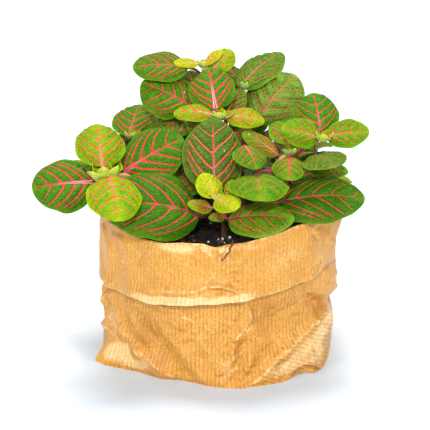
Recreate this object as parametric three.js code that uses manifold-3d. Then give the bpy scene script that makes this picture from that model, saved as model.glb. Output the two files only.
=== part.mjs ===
// A potted nerve plant: a red-veined Fittonia in a plastic nursery pot, which stands in a brown
// kraft paper bag whose top is turned down outwards into a cuff.
// Millimetres, +Z up. The origin is the middle of the bag's flat bottom, under the pot's axis,
// -Y is the side that shows in front.
import * as THREE from "three";
import { mergeVertices } from "three/addons/utils/BufferGeometryUtils.js";
import Module from "manifold-3d";

const wasm = await Module();
wasm.setup();

// Driving dimensions
const GAP = 0.3; // between pieces that rest in or on one another
const PAPER = 0.8; // bag wall, as modelled
const BAG_HEIGHT = 86.5; // to the fold at the rim
const FOOT_HEIGHT = 36; // the bag keeps the shape of its folded bottom up to here
const FLOOR_SHARE = 0.6; // of the foot's radius, where the middle of the bottom starts
const WAIST = 1.4; // how much the wall draws in below the rim
const FOLD_DEPTH = 0.55; // of the soft upright folds in the wall
const CUFF_AIR = 0.7; // between the bag wall and the cuff at the rim
const CUFF_FLARE = 1.3; // how much further the cuff's hem stands off
const RIM_ROUND = 1.4; // height over which the paper turns at the rim
const BAG_SEGMENTS = 40;
const BAG_LEVELS = [9, 22, 38, 56]; // heights of the rings in the bag's wall

const POT_RIM_RADIUS = 59.6;
const POT_TOP_RADIUS = 57.2;
const POT_FOOT_RADIUS = 46;
const POT_HEIGHT = 81.5;
const POT_WALL = 1.2;
const POT_LIP = 6; // height of the pot's wider rim
const POT_LIP_STEP = 2.2; // how far the rim stands out inside
const POT_RAISE = 2; // the middle of the pot's base stands this much higher
const POT_RING = 6; // width of the ring that the pot stands on
const POT_RING_SLOPE = 2;
const POT_SEGMENTS = 26;
const DRAIN_HOLES = 6;
const DRAIN_RADIUS = 4;
const DRAIN_CIRCLE = 32;
const DRAIN_SIDES = 10;

const SOIL_LEVEL = 80;
const SOIL_BUMP = 1.1; // height of the soil's lumps
const SOIL_CROWN = 0.0007; // how the soil falls off towards the pot, per square millimetre
const SOIL_SEGMENTS = 24;
const SOIL_SIDE_GAP = 0.7; // between the soil and the pot's sloping wall
const SOIL_TOP_GAP = 1.3; // the same below the pot's rim
const STEM_FOOT = 68; // how low the stems reach into the soil
const STEM_STRAIGHT = 84; // below this height every stem is straight and upright
const STEM_SIDES = 5;
const STALK_SIDES = 4;
const LEAF_THICKNESS = 0.8;
const LEAF_FOLD = 0.2; // how much the halves rise from the midrib
const LEAF_SAG = 0.38; // and how much their edges hang again
const LEAF_WAVE = 0.05; // of the edge
const SMALL_LEAF = 26; // shorter leaves have a coarser grid and a thinner stalk
const LARGE_LEAF = 30;
const STALK_BOW = 0.1; // how high a stalk arches, as a share of its length
const STALK_RADIUS = 1.15;
const STALK_TIP_RADIUS = 0.55;
const BUD_RADIUS = 2.6;

// Small helpers
const degrees = Math.PI / 180;
const vector = (x, y, z) => new THREE.Vector3(x, y, z);
const bearing = (turn, rise) =>
  vector(
    Math.cos(rise * degrees) * Math.cos(turn * degrees),
    Math.cos(rise * degrees) * Math.sin(turn * degrees),
    Math.sin(rise * degrees),
  );

// A closed geometry from shared vertices and triangles.
function geometryOf(points, triangles) {
  const geometry = new THREE.BufferGeometry().setFromPoints(points);
  geometry.setIndex(triangles);
  return geometry;
}

// A closed geometry as a solid that can be joined or cut.
function toSolid(geometry) {
  const bare = geometry.clone();
  bare.deleteAttribute("normal");
  bare.deleteAttribute("uv");
  const merged = mergeVertices(bare, 1e-4);
  return new wasm.Manifold(
    new wasm.Mesh({
      numProp: 3,
      vertProperties: new Float32Array(merged.attributes.position.array),
      triVerts: new Uint32Array(merged.index.array),
    }),
  );
}

// A solid back as a geometry.
function toGeometry(solid) {
  const { vertProperties, triVerts } = solid.getMesh();
  const geometry = new THREE.BufferGeometry();
  geometry.setAttribute("position", new THREE.BufferAttribute(vertProperties, 3));
  geometry.setIndex(new THREE.BufferAttribute(triVerts, 1));
  return geometry;
}

// Rings of equal size, joined one to the next, with both ends closed by a fan.
function skin(rings) {
  const sides = rings[0].length;
  const triangles = [];
  for (let k = 0; k + 1 < rings.length; k++) {
    for (let i = 0; i < sides; i++) {
      const a = k * sides + i;
      const b = k * sides + ((i + 1) % sides);
      triangles.push(a, b, b + sides, a, b + sides, a + sides);
    }
  }
  const last = (rings.length - 1) * sides;
  for (let i = 1; i + 1 < sides; i++) {
    triangles.push(0, i + 1, i);
    triangles.push(last, last + i, last + i + 1);
  }
  return geometryOf(rings.flat(), triangles);
}

// A tube round a line of points, with a radius at each point.
function tube(points, radii, sides) {
  let across = vector(1, 0, 0);
  const rings = points.map((point, k) => {
    const before = points[Math.max(k - 1, 0)];
    const after = points[Math.min(k + 1, points.length - 1)];
    const along = after.clone().sub(before).normalize();
    if (Math.abs(across.dot(along)) > 0.95) across = vector(0, 1, 0);
    across = across.clone().addScaledVector(along, -across.dot(along)).normalize();
    const third = along.clone().cross(across);
    return Array.from({ length: sides }, (_, i) => {
      const angle = (2 * Math.PI * i) / sides;
      return point
        .clone()
        .addScaledVector(across, radii[k] * Math.cos(angle))
        .addScaledVector(third, radii[k] * Math.sin(angle));
    });
  });
  return skin(rings);
}

// A smooth closed line through [degrees, value] pairs, the first at 0: the value at any angle.
function roundAbout(pairs) {
  const count = pairs.length;
  return (angle) => {
    const turn = ((angle % 360) + 360) % 360;
    const k = pairs.findLastIndex(([start]) => start <= turn);
    const at = (i) => pairs[(i + count) % count];
    const start = at(k)[0];
    const span = (at(k + 1)[0] - start + 360) % 360;
    const t = (turn - start) / span;
    const [p0, p1, p2, p3] = [k - 1, k, k + 1, k + 2].map((i) => at(i)[1]);
    const bend = (2 * p0 - 5 * p1 + 4 * p2 - p3) * t * t + (3 * p1 - p0 - 3 * p2 + p3) * t ** 3;
    return p1 + 0.5 * ((p2 - p0) * t + bend);
  };
}

// The paper bag
// The foot of the bag keeps the corners of its folded bottom: they stick out at 203, 280 and
// 326 degrees, where the bag wasn't filled out by the pot.
const footRadius = roundAbout([
  [0, 68], [23, 73], [45, 68], [75, 62], [103, 67], [125, 64], [155, 68], [180, 69],
  [203, 77], [218, 66], [240, 61.5], [262, 65], [280, 69], [298, 61.5], [314, 61], [326, 69],
  [340, 68],
]);
const hemHeight = roundAbout([
  [0, 54], [45, 55], [90, 54], [135, 49], [180, 44], [210, 46.5], [240, 50.5], [270, 55],
  [310, 58.5], [335, 60],
]);
const rimDip = roundAbout([
  [0, 0], [60, 0.8], [120, 0], [180, 0.6], [212, 1.6], [230, 2.4], [250, 1.2], [268, 2.6], [285, 1.2],
  [310, 0],
]);
const rimRadius = roundAbout([
  [0, 69], [45, 65.6], [90, 63.4], [135, 65.2], [180, 67.4], [225, 65], [270, 63.4], [315, 66],
]);

// Outer radius of the bag wall.
function wallRadius(angle, z) {
  const a = angle * degrees;
  const rim = rimRadius(angle);
  const height = z / BAG_HEIGHT;
  const waist = rim - WAIST * Math.sin(Math.PI * Math.min(1, height * 1.15));
  const spread = Math.max(0, 1 - z / FOOT_HEIGHT) ** 1.6;
  const folds = FOLD_DEPTH * Math.sin(5 * a + 6 * height) * Math.sin(Math.PI * height);
  return waist + (footRadius(angle) - rim) * spread + folds;
}

function paperBag() {
  const angles = Array.from({ length: BAG_SEGMENTS }, (_, i) => (360 * i) / BAG_SEGMENTS);
  const at = (angle, radius, z) =>
    vector(radius * Math.cos(angle * degrees), radius * Math.sin(angle * degrees), z);
  const top = (angle) => BAG_HEIGHT - rimDip(angle);
  const wall = (z, offset) => angles.map((t) => at(t, wallRadius(t, z) + offset, z));
  const below = (share, offset) =>
    angles.map((t) => {
      const z = top(t) - PAPER - share * (top(t) - PAPER - hemHeight(t));
      const air = CUFF_AIR + CUFF_FLARE * share;
      return at(t, wallRadius(t, z) + air + offset, z);
    });
  const edge = (offset, drop) =>
    angles.map((t) => at(t, wallRadius(t, top(t)) + offset, top(t) - drop));
  const floor = (z) => angles.map((t) => at(t, FLOOR_SHARE * footRadius(t), z));
  const lining = (z) => PAPER * (1 + Math.max(0, 1 - z / FOOT_HEIGHT)); // doubled at the foot
  const rings = [
    floor(PAPER),
    ...[PAPER, ...BAG_LEVELS].map((z) => wall(z, -lining(z))),
    edge(-PAPER, RIM_ROUND),
    edge(0, 0),
    edge(CUFF_AIR, 0),
    edge(CUFF_AIR + PAPER, RIM_ROUND),
    below(0.5, PAPER),
    below(1, PAPER),
    below(1, 0),
    below(0.5, 0),
    edge(CUFF_AIR, 2 * PAPER),
    edge(0, 2 * PAPER),
    ...BAG_LEVELS.toReversed().map((z) => wall(z, 0)),
    wall(0, 0),
    floor(0),
  ];
  return skin(rings.reverse());
}

// The nursery pot
const potFoot = PAPER + GAP;
const potFloor = potFoot + POT_RAISE + POT_WALL;

function nurseryPot() {
  const top = potFoot + POT_HEIGHT;
  const profile = [
    [0, potFoot + POT_RAISE],
    [POT_FOOT_RADIUS - POT_RING - POT_RING_SLOPE, potFoot + POT_RAISE],
    [POT_FOOT_RADIUS - POT_RING, potFoot],
    [POT_FOOT_RADIUS, potFoot],
    [POT_TOP_RADIUS, top - POT_LIP],
    [POT_RIM_RADIUS, top - POT_LIP],
    [POT_RIM_RADIUS, top],
    [POT_RIM_RADIUS - POT_WALL, top],
    [POT_RIM_RADIUS - POT_WALL - POT_LIP_STEP, top - POT_LIP + POT_WALL],
    [POT_FOOT_RADIUS - POT_WALL, potFloor],
    [0, potFloor],
  ].map(([radius, z]) => new THREE.Vector2(radius, z));
  const shell = new THREE.LatheGeometry(profile, POT_SEGMENTS).rotateX(Math.PI / 2);
  let pot = toSolid(shell);
  for (let i = 0; i < DRAIN_HOLES; i++) {
    const angle = (2 * Math.PI * (i + 0.5)) / DRAIN_HOLES;
    const drill = new THREE.CylinderGeometry(DRAIN_RADIUS, DRAIN_RADIUS, 4 * POT_RAISE, DRAIN_SIDES)
      .rotateX(Math.PI / 2)
      .translate(DRAIN_CIRCLE * Math.cos(angle), DRAIN_CIRCLE * Math.sin(angle), potFloor);
    pot = pot.subtract(toSolid(drill));
  }
  return toGeometry(pot);
}

// The soil
// Lumpy top of the potting mix, a little higher in the middle.
function soilTop(x, y) {
  const lumps = Math.sin(0.31 * x + 1.3) * Math.cos(0.27 * y - 0.4) + 0.6 * Math.sin(0.17 * (x - y));
  return SOIL_LEVEL + SOIL_BUMP * lumps - SOIL_CROWN * (x * x + y * y);
}

function pottingMix(shoots) {
  const angles = Array.from({ length: SOIL_SEGMENTS }, (_, i) => (2 * Math.PI * i) / SOIL_SEGMENTS);
  const flat = (radius, z) =>
    angles.map((a) => vector(radius * Math.cos(a), radius * Math.sin(a), z));
  const lumpy = (radius) =>
    angles.map((a) => {
      const [x, y] = [radius * Math.cos(a), radius * Math.sin(a)];
      return vector(x, y, soilTop(x, y));
    });
  const topRadius = POT_TOP_RADIUS - POT_WALL - SOIL_TOP_GAP;
  const rings = [
    flat(POT_FOOT_RADIUS - POT_WALL - SOIL_SIDE_GAP, potFloor + GAP),
    ...[1, 0.76, 0.5, 0.22].map((share) => lumpy(share * topRadius)),
  ];
  let soil = toSolid(skin(rings));
  for (const { root, thick } of shoots) {
    const line = [STEM_FOOT - GAP, STEM_STRAIGHT].map((z) => vector(...root, z));
    const hole = thick + GAP;
    soil = soil.subtract(toSolid(tube(line, [hole, hole], STEM_SIDES)));
  }
  return toGeometry(soil);
}

// Leaves
// A blade is a grid along its midrib and across it. Its frame has X from the foot of the blade to
// its tip, Y to its left and Z up out of its upper face.
const ALONG = [0.06, 0.27, 0.52, 0.77, 0.94];
const ALONG_SMALL = [0.08, 0.36, 0.68, 0.92];
const ACROSS = [-1, -0.55, 0, 0.55, 1];
const ACROSS_SMALL = [-1, 0, 1];
const outline = (u) => {
  const t = u ** 0.9;
  return (4 * t * (1 - t)) ** 0.56;
};

// A point of the blade's middle surface and the direction that its upper face looks in.
function bladePoint(leaf, u, w) {
  const { long, wide, arch } = leaf;
  const half = (arch * degrees) / 2;
  const phi = 2 * half * (u - 0.5);
  const middle = vector(
    long / 2 + ((long / 2) * Math.sin(phi)) / Math.sin(half),
    0,
    ((long / 2) * (Math.cos(phi) - Math.cos(half))) / Math.sin(half),
  );
  const up = vector(Math.sin(phi), 0, Math.cos(phi));
  const reach = (wide / 2) * outline(u);
  const ripple = LEAF_WAVE * Math.sin(2 * Math.PI * (1.6 * u + 0.25 * Math.sign(w)));
  const lift = reach * (LEAF_FOLD * Math.abs(w) - (LEAF_SAG - ripple) * w * w);
  middle.y = reach * w * (1 - 0.25 * LEAF_FOLD - 0.12 * w * w * LEAF_SAG);
  return { point: middle.addScaledVector(up, lift), up };
}

// The leaf's frame in the plant: foot, direction and roll about the midrib.
function leafFrame({ foot, turn, rise, roll }) {
  const along = bearing(turn, rise);
  const left = vector(-Math.sin(turn * degrees), Math.cos(turn * degrees), 0);
  const up = along.clone().cross(left);
  const tilt = roll * degrees;
  const rolledLeft = left
    .clone()
    .multiplyScalar(Math.cos(tilt))
    .addScaledVector(up, Math.sin(tilt));
  const rolledUp = along.clone().cross(rolledLeft);
  return new THREE.Matrix4().makeBasis(along, rolledLeft, rolledUp).setPosition(...foot);
}

// A closed thin blade, its two faces split into triangles alike.
function blade(leaf) {
  const stations = leaf.long < LARGE_LEAF ? ALONG_SMALL : ALONG;
  const lanes = leaf.long < SMALL_LEAF ? ACROSS_SMALL : ACROSS;
  const points = [];
  const spot = (u, w) => {
    const { point, up } = bladePoint(leaf, u, w);
    points.push(point.clone().addScaledVector(up, LEAF_THICKNESS / 2));
    points.push(point.clone().addScaledVector(up, -LEAF_THICKNESS / 2));
    return points.length - 2;
  };
  const foot = spot(0, 0);
  const rows = stations.map((u) => lanes.map((w) => spot(u, w)));
  const tip = spot(1, 0);
  const triangles = [];
  const face = (a, b, c) => triangles.push(a, b, c, a + 1, c + 1, b + 1);
  const last = lanes.length - 1;
  for (let j = 0; j < last; j++) {
    face(foot, rows[0][j], rows[0][j + 1]);
    face(tip, rows.at(-1)[j + 1], rows.at(-1)[j]);
    for (let k = 0; k + 1 < rows.length; k++) {
      const [a, b, c, d] = [rows[k][j], rows[k + 1][j], rows[k + 1][j + 1], rows[k][j + 1]];
      if (2 * j < last) {
        face(a, b, c);
        face(a, c, d);
      } else {
        face(a, b, d);
        face(b, c, d);
      }
    }
  }
  const rim = [foot, ...rows.map((r) => r[0]), tip, ...rows.map((r) => r[last]).reverse()];
  rim.forEach((a, i) => {
    const b = rim[(i + 1) % rim.length];
    triangles.push(a, a + 1, b + 1, a, b + 1, b);
  });
  return geometryOf(points, triangles).applyMatrix4(leafFrame(leaf));
}

// The stalk from the stem to the blade, sunk into both.
function stalk(leaf, from) {
  const end = bladePoint(leaf, 0.16, 0).point.applyMatrix4(leafFrame(leaf));
  const foot = vector(...leaf.foot);
  const bow = vector(0, 0, STALK_BOW * foot.distanceTo(from));
  const middle = from.clone().lerp(foot, 0.5).add(bow);
  const thin = leaf.long < SMALL_LEAF ? 0.75 : 1;
  const radii = [STALK_RADIUS, STALK_RADIUS, 0.9 * STALK_RADIUS, STALK_TIP_RADIUS];
  return tube([from, middle, foot, end], radii.map((r) => thin * r), STALK_SIDES);
}

// Leafy stems
// Each leaf: where its blade starts, the way it points (turn from +X towards +Y, and rise above
// the horizontal), its length and width, its roll about the midrib and the arch of the midrib.
// Degrees and millimetres.
function leaf(foot, turn, rise, long, wide, roll = 0, arch = 30) {
  return { foot, turn, rise, long, wide, roll, arch };
}

// A stem is upright as far as STEM_STRAIGHT and then bends towards its bud.
function stemAt({ root, bend, bud }, t) {
  const start = vector(root[0], root[1], STEM_STRAIGHT);
  return new THREE.QuadraticBezierCurve3(start, vector(...bend), vector(...bud)).getPoint(t);
}

// A node's leaves leave the stem where it has run the share `at` of its bend. The first eight
// stems fill the front and the top, the last five the sides and the back.
const SHOOTS = [
  {
    name: "leafy_stem_left",
    root: [-26, -17],
    thick: 1.9,
    bend: [-34, -20, 110],
    bud: [-63, -32, 116],
    nodes: [
      { at: 0.8, leaves: [
        leaf([-70, -32, 110.5], 192, -2, 34, 36, -46),
        leaf([-53, -24, 114], 13, 27, 38, 36.5, 42),
      ] },
      { at: 0.95, leaves: [
        leaf([-65, -30, 119], 100, 33, 31, 31.5, 0, 35),
        leaf([-60.5, -39, 116.5], 283, -28, 34, 33, 0, 35),
      ] },
    ],
  },
  {
    name: "leafy_stem_left_rear",
    root: [-27, 4],
    thick: 1.7,
    bend: [-32, 4, 114],
    bud: [-50, 5, 126],
    nodes: [
      { at: 0.6, leaves: [
        leaf([-56, 8, 112], 176, -12, 26, 21, -20),
        leaf([-36, 8, 118], 14, 12, 22, 19, 10),
      ] },
      { at: 0.95, leaves: [
        leaf([-52, 9, 125], 80, 22, 30, 29, 0, 35),
        leaf([-56, 8, 123], 170, -30, 25, 23, 0),
      ] },
      { at: 0.46, leaves: [leaf([-41, -5, 102], 200, 30, 32, 24, -30, 40)] },
      { at: 0.33, leaves: [leaf([-30, 7, 96], 77, 33, 32, 26, 21, 40)] },
    ],
  },
  {
    name: "leafy_stem_front",
    root: [3, -34],
    thick: 1.7,
    bend: [1, -37, 98],
    bud: [-1, -48, 107],
    nodes: [
      { at: 0.3, leaves: [
        leaf([-11, -39, 93], 183, 9, 55, 42.5, -48, 72),
        leaf([5, -45, 93], 348, 5, 37, 30, 26, 35),
      ] },
      { at: 0.6, leaves: [leaf([-3, -36, 106], 92, 56, 43, 38, 6, 22)] },
      { at: 0.8, leaves: [
        leaf([-4, -46, 100], 186, 14, 14, 11, -28),
        leaf([4, -41, 105], 50, 58, 10, 8, 0),
      ] },
      { at: 0.98, leaves: [
        leaf([-2, -48, 107], 130, 42, 16, 17, -12),
        leaf([-1.5, -52, 108], 312, -6, 17, 16, 25),
      ] },
    ],
  },
  {
    name: "leafy_stem_front_right",
    root: [18, -22],
    thick: 1.8,
    bend: [23, -22, 114],
    bud: [40, -22, 125],
    nodes: [
      { at: 0.25, leaves: [leaf([29, -34, 98], 354, 6, 52, 38, 30, 40)] },
      { at: 0.45, leaves: [leaf([14, -25, 129.5], 292, -28, 19, 22, -5, 40)] },
      { at: 0.6, leaves: [leaf([20, -34, 115], 275, -9, 30, 37, 0, 50)] },
      { at: 0.86, leaves: [leaf([33, -19, 122], 164, 30, 24, 14, -28)] },
      { at: 0.97, leaves: [
        leaf([39, -26, 123], 267, -22, 20, 20, 0),
        leaf([39, -16, 127], 104, 22, 22, 20, 10),
      ] },
    ],
  },
  {
    name: "leafy_stem_right",
    root: [31, -5],
    thick: 1.9,
    bend: [38, -6, 122],
    bud: [59, -18, 132],
    nodes: [
      { at: 0.5, leaves: [
        leaf([52, -9, 112], 350, -5, 22, 18, 20),
        leaf([48, 5, 118], 56, -8, 27, 24, -12),
      ] },
      { at: 0.86, leaves: [
        leaf([57, -12, 134], 98, 35, 28, 29, 0),
        leaf([54, -22, 122.5], 290, 2, 25, 28, 10, 50),
      ] },
      { at: 0.97, leaves: [
        leaf([56, -18, 132], 175, 14, 22, 21, -42),
        leaf([60, -18, 133], 356, 8, 24, 20, 46),
      ] },
      { at: 0.35, leaves: [leaf([42, -3, 99], 38, 27, 32, 25, 10, 40)] },
    ],
  },
  {
    name: "leafy_stem_top",
    root: [1, -11],
    thick: 1.9,
    bend: [2, -6, 120],
    bud: [0, -5, 141],
    nodes: [
      { at: 0.2, leaves: [
        leaf([-9, -14, 103], 190, 5, 28, 23, -20),
        leaf([4, -3, 126], 10, 28, 17, 16, 15),
      ] },
      { at: 0.5, leaves: [leaf([-6, -3, 126], 140, 45, 20, 20, -10)] },
      { at: 0.8, leaves: [leaf([4, 2, 137], 60, 40, 22, 17, 0)] },
      { at: 0.92, leaves: [leaf([-2, -1, 144], 99, 35, 30.5, 30, -8)] },
      { at: 0.97, leaves: [
        leaf([-4, -6, 142], 174, 0, 22, 17, -24, 45),
        leaf([4, -5, 140], 356, -5, 22, 17, 32, 60),
      ] },
      { at: 0.42, leaves: [leaf([14, -13, 113], 2, -14, 26, 22, -50, 40)] },
    ],
  },
  {
    name: "leafy_stem_crown",
    root: [-9, 12],
    thick: 2,
    bend: [-10, 23, 138],
    bud: [-9, 28, 162],
    nodes: [
      { at: 0.45, leaves: [
        leaf([-10, 32, 131], 112, 4, 20, 18, 0, 35),
        leaf([-20, 22, 128], 178, -8, 28, 24, 0, 40),
      ] },
      { at: 0.65, leaves: [leaf([-16, 9, 143], 166, 21, 32, 33, -40)] },
      { at: 0.88, leaves: [leaf([-18, 22, 162.5], 184, 1, 32, 25, -36, 40)] },
      { at: 0.98, leaves: [
        leaf([-12, 25, 164], 198, 5, 15, 9, -30),
        leaf([-4, 26, 159], 50, 30, 20, 17, 25),
        leaf([-8, 27, 163], 15, 38, 13, 8, 30),
      ] },
      { at: 0.6, leaves: [leaf([-15, 16, 134], 222, -11, 32, 26, -14, 40)] },
      { at: 0.72, leaves: [leaf([-15, 22, 139], 100, 60, 22, 18)] },
    ],
  },
  {
    name: "leafy_stem_top_right",
    root: [14, 8],
    thick: 1.8,
    bend: [14, 12, 130],
    bud: [15, 21, 151],
    nodes: [
      { at: 0.4, leaves: [leaf([17, 22, 122], 88, 6, 32, 26, 0, 35)] },
      { at: 0.6, leaves: [leaf([21, 12, 133.5], 35, 38, 37, 36, 30)] },
      { at: 0.9, leaves: [
        leaf([12, 23, 150], 44, 24, 38, 29, 8),
        leaf([12, 29, 149], 110, 22, 22, 17, 0),
      ] },
    ],
  },
  {
    name: "leafy_stem_left_low",
    root: [-40, 12],
    thick: 1.6,
    bend: [-46, 14, 102],
    bud: [-72, 20, 104],
    nodes: [
      { at: 0.55, leaves: [
        leaf([-58, 28, 101], 140, 0, 32, 26, 0, 40),
        leaf([-58, 2, 101], 222, 2, 30, 24, -12, 40),
      ] },
      { at: 0.97, leaves: [
        leaf([-78, 21, 103], 172, -12, 24, 20, -10),
        leaf([-72, 25, 106], 100, 8, 20, 17, 0),
      ] },
    ],
  },
  {
    name: "leafy_stem_rear_left",
    root: [-20, 26],
    thick: 1.8,
    bend: [-25, 30, 112],
    bud: [-38, 44, 122],
    nodes: [
      { at: 0.3, leaves: [
        leaf([-34, 44, 96], 122, 4, 46, 36, 0, 55),
        leaf([-15, 38, 101], 86, 12, 36, 27, 0, 50),
      ] },
      { at: 0.7, leaves: [
        leaf([-42, 34, 116], 186, -2, 25, 23, 32, 35),
        leaf([-25, 38, 119], 2, 12, 22, 20, -30, 35),
      ] },
      { at: 0.97, leaves: [
        leaf([-41, 49, 121], 122, -26, 30, 27, 0, 40),
        leaf([-35, 45, 127], 290, 55, 19, 18, 0, 30),
      ] },
    ],
  },
  {
    name: "leafy_stem_rear",
    root: [3, 30],
    thick: 1.8,
    bend: [5, 38, 118],
    bud: [4, 56, 134],
    nodes: [
      { at: 0.25, leaves: [leaf([11, 46, 97], 82, 3, 44, 34, 0, 60)] },
      { at: 0.55, leaves: [
        leaf([-6, 54, 116], 152, 0, 32, 28, 26, 40),
        leaf([15, 51, 118], 34, 2, 25, 23, -24, 40),
      ] },
      { at: 0.8, leaves: [
        leaf([4, 60, 129], 88, -28, 32, 28, 0, 40),
        leaf([5, 51, 135], 272, 50, 22, 22, 0, 30),
      ] },
      { at: 0.97, leaves: [
        leaf([-1, 57, 135], 168, 8, 19, 16, 30, 40),
        leaf([9, 57, 134], 352, 8, 22, 17, -30, 40),
      ] },
    ],
  },
  {
    name: "leafy_stem_rear_right",
    root: [24, 24],
    thick: 1.8,
    bend: [28, 30, 110],
    bud: [44, 44, 124],
    nodes: [
      { at: 0.3, leaves: [leaf([38, 42, 96], 70, 4, 44, 35, 0, 55)] },
      { at: 0.65, leaves: [
        leaf([31, 47, 111], 98, -4, 23, 20, 0, 40),
        leaf([47, 33, 106], 350, -6, 21, 18, -10, 40),
      ] },
      { at: 0.97, leaves: [
        leaf([47, 49, 123], 56, -26, 29, 26, 0, 40),
        leaf([42, 41, 127], 236, 44, 22, 21, 0, 30),
      ] },
    ],
  },
  {
    name: "leafy_stem_right_low",
    root: [42, 10],
    thick: 1.6,
    bend: [48, 12, 100],
    bud: [63, 17, 101],
    nodes: [
      { at: 0.5, leaves: [
        leaf([58, 4, 94], 320, -4, 28, 22, 10, 40),
        leaf([56, 26, 95], 45, -2, 27, 22, 0, 40),
      ] },
      { at: 0.97, leaves: [
        leaf([66, 17, 99], 12, -24, 15, 13, 0),
        leaf([63, 12, 101], 285, 0, 17, 13, 0),
      ] },
    ],
  },
];

function leafyStem(shoot) {
  const foot = vector(...shoot.root, STEM_FOOT);
  const bends = [0, 0.15, 0.3, 0.48, 0.66, 0.83, 1].map((t) => stemAt(shoot, t));
  const points = [foot, ...bends];
  const radii = points.map((_, i) => shoot.thick * Math.min(1, 1.1 - 0.06 * i));
  let whole = toSolid(tube(points, radii, STEM_SIDES));
  const tip = new THREE.IcosahedronGeometry(BUD_RADIUS, 0).translate(...shoot.bud);
  whole = whole.add(toSolid(tip));
  for (const { at, leaves } of shoot.nodes) {
    for (const each of leaves) {
      whole = whole.add(toSolid(blade(each))).add(toSolid(stalk(each, stemAt(shoot, at))));
    }
  }
  return toGeometry(whole);
}

// Materials and assembly
const finish = (color, roughness) =>
  new THREE.MeshStandardMaterial({ color, roughness, metalness: 0 });
const kraft = finish(0xd29a52, 0.75);
const plastic = finish(0x2c2a29, 0.5);
const mix = finish(0x1d1713, 0.95);
const foliage = finish(0x3f7a24, 0.55);

function piece(name, geometry, material) {
  const mesh = new THREE.Mesh(geometry, material);
  mesh.name = name;
  return mesh;
}

const group = new THREE.Group();
group.add(piece("paper_bag", paperBag(), kraft));
group.add(piece("nursery_pot", nurseryPot(), plastic));
group.add(piece("potting_mix", pottingMix(SHOOTS), mix));
for (const shoot of SHOOTS) group.add(piece(shoot.name, leafyStem(shoot), foliage));

export default group;
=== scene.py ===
"""A potted nerve plant: a red-veined Fittonia in a nursery pot, which stands in a kraft paper bag.

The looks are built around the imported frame. Tables are in millimetres and degrees, as in the
part's source, and every mesh is made in metres. Angles round the bag start at +X and turn
towards +Y, so the front of the bag is at 270 degrees.
"""

import math

import bpy
import numpy as np
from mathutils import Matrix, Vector


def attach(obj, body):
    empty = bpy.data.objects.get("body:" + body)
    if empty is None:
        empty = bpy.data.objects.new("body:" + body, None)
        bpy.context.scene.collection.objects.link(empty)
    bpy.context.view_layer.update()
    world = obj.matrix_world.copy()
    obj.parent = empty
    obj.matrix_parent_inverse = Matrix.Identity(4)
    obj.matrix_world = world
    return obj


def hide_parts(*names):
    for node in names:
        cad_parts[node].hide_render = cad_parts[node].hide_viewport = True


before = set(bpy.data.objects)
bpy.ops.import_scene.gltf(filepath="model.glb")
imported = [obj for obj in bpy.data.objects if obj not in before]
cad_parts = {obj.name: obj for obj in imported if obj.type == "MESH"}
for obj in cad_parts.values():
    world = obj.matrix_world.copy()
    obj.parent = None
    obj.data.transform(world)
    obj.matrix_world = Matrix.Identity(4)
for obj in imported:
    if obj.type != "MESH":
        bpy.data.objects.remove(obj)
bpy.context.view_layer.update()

MM = 0.001

# The paper bag
BAG_HEIGHT = 86.5
PAPER = 0.55  # thicker than real paper, so that its edge shows
CUFF_AIR = 0.8  # between the wall and the cuff
CUFF_FLARE = 1.3  # how far the foot of the cuff stands out beyond its top
WAIST = 1.4  # how far the wall draws in below its rim
WAVE_DEPTH = 0.55  # of the five broad waves round the wall
BAG_COLUMNS = 440
WALL_SHOWN = 64  # the cuff hides the wall above this height
RIB_PITCH = 2.35  # of the paper's fine upright stripes
CREASE_DEPTH = 2.1  # of a crease whose strength is 1
DEGREE = math.radians(1) * 66  # the length of one degree along the wall
FLAP_START = 285  # the corner at the front right is folded over from here
FLAP_END = 352

# The pot and the soil
POT_FOOT = 1.1  # the height of the pot's foot above the ground
POT_HEIGHT = 81.5
POT_RIM_RADIUS = 59.6
POT_TOP_RADIUS = 57.2
POT_FOOT_RADIUS = 46
POT_WALL = 1.2
POT_LIP = 6
POT_STEP = 12  # the height of each step in the wall
DRAIN_HOLES = 6
DRAIN_CIRCLE = 32
DRAIN_RADIUS = 4
SOIL_RADIUS = 54.7
SOIL_LEVEL = 80

# The plant
STEM_FOOT = 70
STEM_STRAIGHT = 84
LEAF_THICKNESS = 0.42
LEAF_FOLD = 0.2  # how steeply a blade rises from its midrib
LEAF_SAG = 0.38  # how far its margins curve down again
LEAF_WAVE = 0.05
STALK_BOW = 0.1
STALK_RADIUS = 0.85 * 1.05  # a little slimmer than in the solids
TUBE_STEPS = 34
HAIR_RADIUS = 0.045
FRONT, BACK, SKIN, HAIR = range(4)  # the materials of a stem, and the first two of a leaf

# The photograph's view
CAMERA_PITCH = 20
CAMERA_DISTANCE = 800
CAMERA_TARGET = (-2.34, 0, 79.4)
CAMERA_LENS = 114.5


# Small helpers
def turned(degrees):
    """The cosine and sine of an angle in degrees."""
    return np.cos(np.radians(degrees)), np.sin(np.radians(degrees))


def unit(vectors):
    """Vectors of length 1 along the given ones."""
    return vectors / np.maximum(np.linalg.norm(vectors, axis=-1, keepdims=True), 1e-12)


def smooth_step(value, low, high):
    """0 up to low and 1 from high on, with a smooth step between them."""
    share = np.clip((value - low) / (high - low), 0, 1)
    return share * share * (3 - 2 * share)


def random_for(name):
    """A random source that a piece's name alone decides."""
    return np.random.default_rng([ord(letter) for letter in name])


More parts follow.
